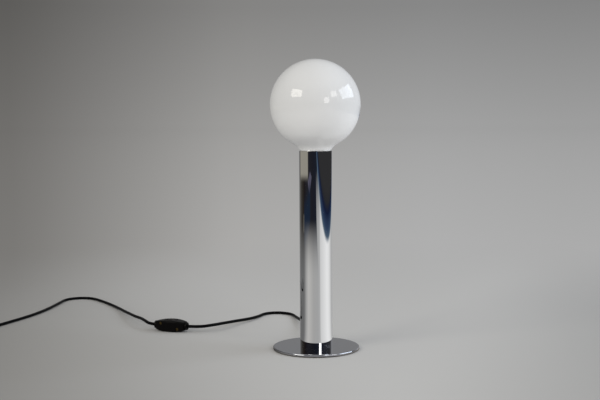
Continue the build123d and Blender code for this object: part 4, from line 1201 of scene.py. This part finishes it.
def floor_room(tree, across, along, bearing, distance):
    """The dark floor of the room, with a wall, a few pale places and daylight."""
    room = ramp(tree, bearing, room_stops, smooth=True)
    left, back = (fade(tree, bearing, *edges) for edges in wall_bearings)
    wall = times(tree, math_node(tree, "MAXIMUM", left, back), fade(tree, distance, *wall_distance))
    room = blend_colours(tree, wall, room, wall_colour)
    for sides, ends, colour in room_patches:
        room = blend_colours(tree, patch(tree, across, along, sides, ends), room, colour)
    daylight = ramp(tree, times(tree, across, 1 / daylight_reach), daylight_stops)
    room = blend_colours(tree, fade(tree, across, *daylight_from), room, daylight)
    low, high = (fade(tree, across, *edges) for edges in shade_across)
    shade = times(tree, low, high, fade(tree, bearing, *shade_bearing))
    return blend_colours(tree, shade, room, shade_colour)


# %% Floor: what a reflection sees
def floor_paper(tree, place):
    """What a reflection sees: pale paper to its edges, with a painted shadow round the foot, then
    the dark room.
    """
    across, along = parts_of(tree, place)[:2]
    bearing = compass(tree, place)
    distance = length_of(tree, place)
    lit = fade(tree, distance, *paper_worn)
    strip = times(tree, fade(tree, across, *strip_across), fade(tree, along, *strip_along))
    reach = times(tree, math_node(tree, "MAXIMUM", lit, strip), fade(tree, across, *paper_edge))
    room = floor_room(tree, across, along, bearing, distance)
    # painted shadow round the foot, as the rim and the tube's bottom reflect it
    painted_contact_shadow = blend_colours(tree, fade(tree, distance, *painted_contact_shadow_ring), painted_contact_shadow_tone, grey(1.0))
    paper = tinted(tree, ramp(tree, bearing, paper_stops), painted_contact_shadow)
    return blend_colours(tree, reach, room, paper)


# %% Floor: its tone near the lamp, with painted shade
floor_tone = 0.54
tone_slant = 0.3
left_falloff = (-0.8, 0.05)
right_falloff = (0.6, 0.16)


def floor_tone_with_painted_shade(tree, place):
    """The near floor's tone, with painted shade that darkens it towards both sides, most at the
    left.
    """
    across, along = parts_of(tree, place)[:2]
    slant = times(tree, along, tone_slant)
    left = fade(tree, plus(tree, across, slant), *left_falloff)
    right = fade(tree, minus(tree, across, slant), *right_falloff)
    # painted shade: the floor's colour darkens towards the left and the right
    painted_shade_left = blend_colours(tree, left, grey(0.4, 0.03), grey(1.0, 0.012))
    painted_shade_right = blend_colours(tree, right, grey(0.72), grey(1.0))
    return tinted(tree, tinted(tree, painted_shade_left, painted_shade_right), grey(floor_tone))


# %% Floor: the backdrop's tone far away
floor_radius = 60.0
near_lift = 0.5
lift_power = -0.5
lift_nearest = 1.2
front_tone = 0.34
front_reach = (1.3, 2.6)


def floor_far(tree, place):
    """The far floor: the backdrop's tone, a little lighter towards the picture's front."""
    move = {"Location": (-camera_spot.x, -camera_spot.y, 0)}
    outward = linked(tree, "ShaderNodeMapping", place, named=move).outputs[0]
    reach = math_node(tree, "MAXIMUM", length_of(tree, outward), lift_nearest)
    nearness = minus(tree, math_node(tree, "POWER", reach, lift_power), floor_radius ** lift_power)
    lift = plus(tree, 1.0, times(tree, nearness, near_lift))
    tone = backdrop_tone(tree, outward)
    tone = blend_colours(tree, fade(tree, reach, *front_reach), grey(front_tone), tone)
    return tinted(tree, tone, lift)


# %% Floor: its material and its disc
near_radius = 0.45
far_radius = 1.7


def floor_material():
    """Pale paper near the lamp, the backdrop's tone far away, the room in reflections."""
    material = bpy.data.materials.new("pale_paper")
    material.use_nodes = True
    material.cycles.emission_sampling = "NONE"
    tree = material.node_tree
    tree.nodes.remove(tree.nodes["Principled BSDF"])
    place = tree.nodes.new("ShaderNodeTexCoord").outputs["Object"]
    near = linked(tree, "ShaderNodeBsdfDiffuse", floor_tone_with_painted_shade(tree, place)).outputs[0]
    far = linked(tree, "ShaderNodeEmission", floor_far(tree, place)).outputs[0]
    mirrored = linked(tree, "ShaderNodeEmission", floor_paper(tree, place)).outputs[0]
    distant = fade(tree, length_of(tree, place), near_radius, far_radius)
    shown = linked(tree, "ShaderNodeMixShader", distant, near, far).outputs[0]
    glossy = ray_kinds(tree)[1]
    final = linked(tree, "ShaderNodeMixShader", glossy, shown, mirrored).outputs[0]
    tree.links.new(final, tree.nodes["Material Output"].inputs["Surface"])
    return material


def add_floor():
    """One flat disc."""
    disc = bmesh.new()
    bmesh.ops.create_circle(disc, cap_ends=True, segments=96, radius=floor_radius)
    mesh = bpy.data.meshes.new("floor")
    disc.to_mesh(mesh)
    disc.free()
    mesh.materials.append(floor_material())
    floor = bpy.data.objects.new("floor", mesh)
    scene.collection.objects.link(floor)


add_floor()
print("floor radius:", floor_radius)

# %% [markdown]
# ### Windows
#
# Four area lights stand for the two windows and for two smaller lamps at the camera's right.
# Each is given by its direction from the lamp, its size and how bright it looks; the power
# follows from size and brightness. They are hidden from the camera but not from reflections,
# so the globe and the foot show them.

# %% Windows
light_target = Vector((0, 0, 0.25))
light_distance = 3.0
power_for_size = 4


def add_window(name, direction, width, height, brightness, colour):
    """An area light that looks at the lamp from a direction."""
    data = bpy.data.lights.new(name, "AREA")
    data.shape = "RECTANGLE"
    data.size = width
    data.size_y = height
    data.color = colour
    data.energy = brightness * width * height * power_for_size
    light = bpy.data.objects.new(name, data)
    light.location = light_target + Vector(direction).normalized() * light_distance
    light.rotation_euler = (light_target - light.location).to_track_quat("-Z", "Y").to_euler()
    light.visible_camera = False
    scene.collection.objects.link(light)
    print(name, "watts:", round(data.energy, 1))


add_window("window_left", (-0.690, -0.545, 0.470), 1.45, 0.88, 4.6, (1.0, 0.97, 0.88))
add_window("window_right", (0.905, 0.035, 0.405), 2.3, 1.05, 3.7, (0.82, 0.90, 1.0))
add_window("lamp_right", (0.680, -0.590, 0.440), 0.8, 0.65, 3.4, (1.0, 0.99, 0.97))
add_window("lamp_low", (0.450, -0.865, 0.22), 0.7, 0.65, 3.6, (1.0, 0.99, 0.97))
